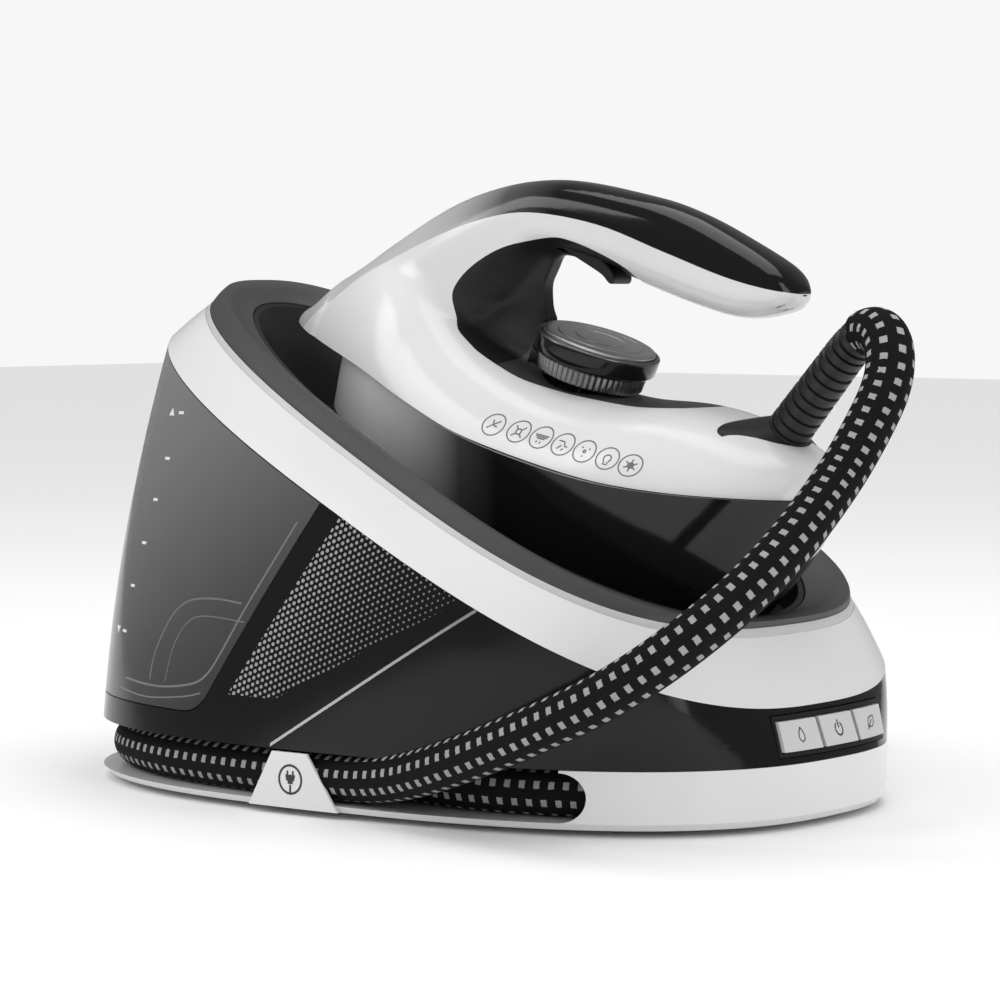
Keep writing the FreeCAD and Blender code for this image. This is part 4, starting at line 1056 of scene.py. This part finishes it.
def tube(name, path, radius_at, material, sides):
    """Mesh tube round a path, with u along it and v round it; radius_at(i) gives the radius at each point."""
    mesh = bpy.data.meshes.new(name)
    normal = None
    points = []
    lengths = [0.0]
    for a, b in zip(path, path[1:]):
        lengths.append(lengths[-1] + (b - a).length)
    for i, place in enumerate(path):
        ahead = (path[min(i + 1, len(path) - 1)] - path[max(i - 1, 0)]).normalized()
        if normal is None:
            normal = ahead.cross(Vector((0.0, 0.0, 1.0))).normalized()
        normal = (normal - ahead * normal.dot(ahead)).normalized()
        side = ahead.cross(normal)
        reach = radius_at(i)
        for j in range(sides):
            angle = math.tau * j / sides
            points.append(place + normal * (math.cos(angle) * reach) + side * (math.sin(angle) * reach))
    faces = []
    coords = []
    for i in range(len(path) - 1):
        for j in range(sides):
            k = (j + 1) % sides
            faces.append((i * sides + j, i * sides + k, (i + 1) * sides + k, (i + 1) * sides + j))
            v0 = HOSE_ROWS * j / sides
            v1 = HOSE_ROWS * (j + 1) / sides
            u0 = lengths[i] / HOSE_PITCH
            u1 = lengths[i + 1] / HOSE_PITCH
            coords += [(u0, v0), (u0, v1), (u1, v1), (u1, v0)]
    end = (len(path) - 1) * sides
    faces += [tuple(reversed(range(sides))), tuple(end + j for j in range(sides))]
    coords += [(0.0, 0.0)] * (2 * sides)
    mesh.from_pydata([tuple(p) for p in points], [], faces)
    layer = mesh.uv_layers.new(name="UVMap")
    for loop, coord in zip(layer.data, coords):
        loop.uv = coord
    mesh.update()
    return smooth(new_object(name, mesh, material), 50.0)


hose_path = even_points(route_points(HOSE_ROUTE, 24), HOSE_STEP)
# where the sleeve goes into the strain relief, and how it is drawn in there
BOOT_OVERLAP = 0.016
NECK_RADIUS = 0.0076
NECK_START = BOOT_OVERLAP - 0.002
NECK_RUN = 0.003


def hose_radius(i):
    left = (len(hose_path) - 1 - i) * HOSE_STEP
    share = min(max((left - NECK_START) / NECK_RUN, 0.0), 1.0)
    return NECK_RADIUS + (HOSE_RADIUS - NECK_RADIUS) * share


hose = tube("steam_hose", hose_path, hose_radius, BRAID, 32)
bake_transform(hose)
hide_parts("hose_base_side", "hose_iron_side")

# strain relief on the iron: a grooved, slightly tapered sleeve round the end of the hose
BOOT_STEP = 0.0006
BOOT_RADIUS = 0.0100
BOOT_TAPER = 0.0012
GROOVE_PITCH = 0.0052
GROOVE_START = 0.72
GROOVE_DEPTH = 0.0011
END_SHARE = 0.97
END_ROUNDING = 0.0006
straight = [BOOT_START.lerp(BOOT_TIP, i / 60.0) for i in range(9, 60)]
bent = [point for i, point in enumerate(reversed(hose_path)) if i * HOSE_STEP <= BOOT_OVERLAP]
boot_path = even_points(straight + bent, BOOT_STEP)


def boot_radius(i):
    share = i / len(boot_path)
    groove = GROOVE_DEPTH if (i * BOOT_STEP / GROOVE_PITCH) % 1.0 > GROOVE_START else 0.0
    end = max(share - END_SHARE, 0.0) / (1.0 - END_SHARE)
    return BOOT_RADIUS - BOOT_TAPER * share - groove - END_ROUNDING * end


boot = tube("hose_boot_visual", boot_path, boot_radius, RUBBER, 48)
stand_in(boot, "iron", "rubber_black", "hose_boot")

# the foot it stands on: (place along the boot, half height, half width, squareness) of its sections
FOOT = [(-16.0, 20.0, 30.0, 5.0), (-4.0, 20.0, 30.0, 5.0), (0.0, 18.5, 27.5, 4.5), (3.0, 16.0, 21.5, 3.6),
        (6.0, 13.4, 16.2, 2.8), (9.0, 11.2, 12.0, 2.2), (10.4, 10.2, 10.4, 2.0), (10.8, 9.4, 9.4, 2.0)]
FOOT_SIDES = 64
foot_across = BOOT_AXIS.cross(Y_AXIS).normalized()
foot_side = BOOT_AXIS.cross(foot_across)
foot_rows = []
for along, tall, wide, square in FOOT:
    middle = BOOT_START + BOOT_AXIS * (along * MM)
    foot_rows.append([middle + (foot_across * (tall * power(math.cos(a), 2.0 / square))
                                + foot_side * (wide * power(math.sin(a), 2.0 / square))) * MM
                      for a in (math.tau * i / FOOT_SIDES for i in range(FOOT_SIDES))])
foot = grid_mesh("boot_gland_visual", foot_rows, RUBBER)
stand_in(foot, "iron", "rubber_black", "boot_gland")

# ---- floor, light and background
FLOOR_HALF = 6.0
floor_look = Nodes("floor")
floor_grain = floor_look.noise(floor_look.position(), 3.0, 3.0)
floor_look.put("Base Color", floor_look.mix(floor_grain, grey(0.93), grey(0.95)))
floor_look.put("Roughness", 0.6)
floor_mesh = bpy.data.meshes.new("floor")
corners = [(x * FLOOR_HALF, y * FLOOR_HALF, 0.0) for x, y in ((-1, -1), (1, -1), (1, 1), (-1, 1))]
floor_mesh.from_pydata(corners, [], [(0, 1, 2, 3)])
floor = new_object("floor", floor_mesh, floor_look.material)

# white all round; glossy surfaces mirror a dimmer room
world = bpy.data.worlds.new("studio")
bpy.context.scene.world = world
world.use_nodes = True
air = world.node_tree
room = air.nodes["Background"]
backdrop = air.nodes.new("ShaderNodeBackground")
for light, strength in ((room, 0.22), (backdrop, 0.93)):
    light.inputs["Color"].default_value = grey(1.0)
    light.inputs["Strength"].default_value = strength
seen = air.nodes.new("ShaderNodeLightPath")
choose = air.nodes.new("ShaderNodeMixShader")
air.links.new(seen.outputs["Is Glossy Ray"], choose.inputs[0])
air.links.new(backdrop.outputs[0], choose.inputs[1])
air.links.new(room.outputs[0], choose.inputs[2])
air.links.new(choose.outputs[0], air.nodes["World Output"].inputs["Surface"])


def softbox(name, place, aim_height, width, height, watts):
    """Rectangular lamp that looks at the middle of the object at a height."""
    data = bpy.data.lights.new(name, "AREA")
    data.shape = "RECTANGLE"
    data.size = width
    data.size_y = height
    data.energy = watts
    lamp = bpy.data.objects.new(name, data)
    lamp.location = place
    aim = Vector((0.0, 0.0, aim_height)) - Vector(place)
    lamp.rotation_euler = aim.to_track_quat("-Z", "Y").to_euler()
    bpy.context.scene.collection.objects.link(lamp)


softbox("key", (-1.1, -1.2, 1.3), 0.12, 0.7, 1.0, 7.0)
softbox("fill", (1.7, -0.5, 0.7), 0.12, 0.4, 1.3, 4.0)
softbox("top", (0.1, 0.2, 1.6), 0.1, 1.4, 1.0, 8.0)

bpy.context.scene.view_settings.view_transform = "Standard"
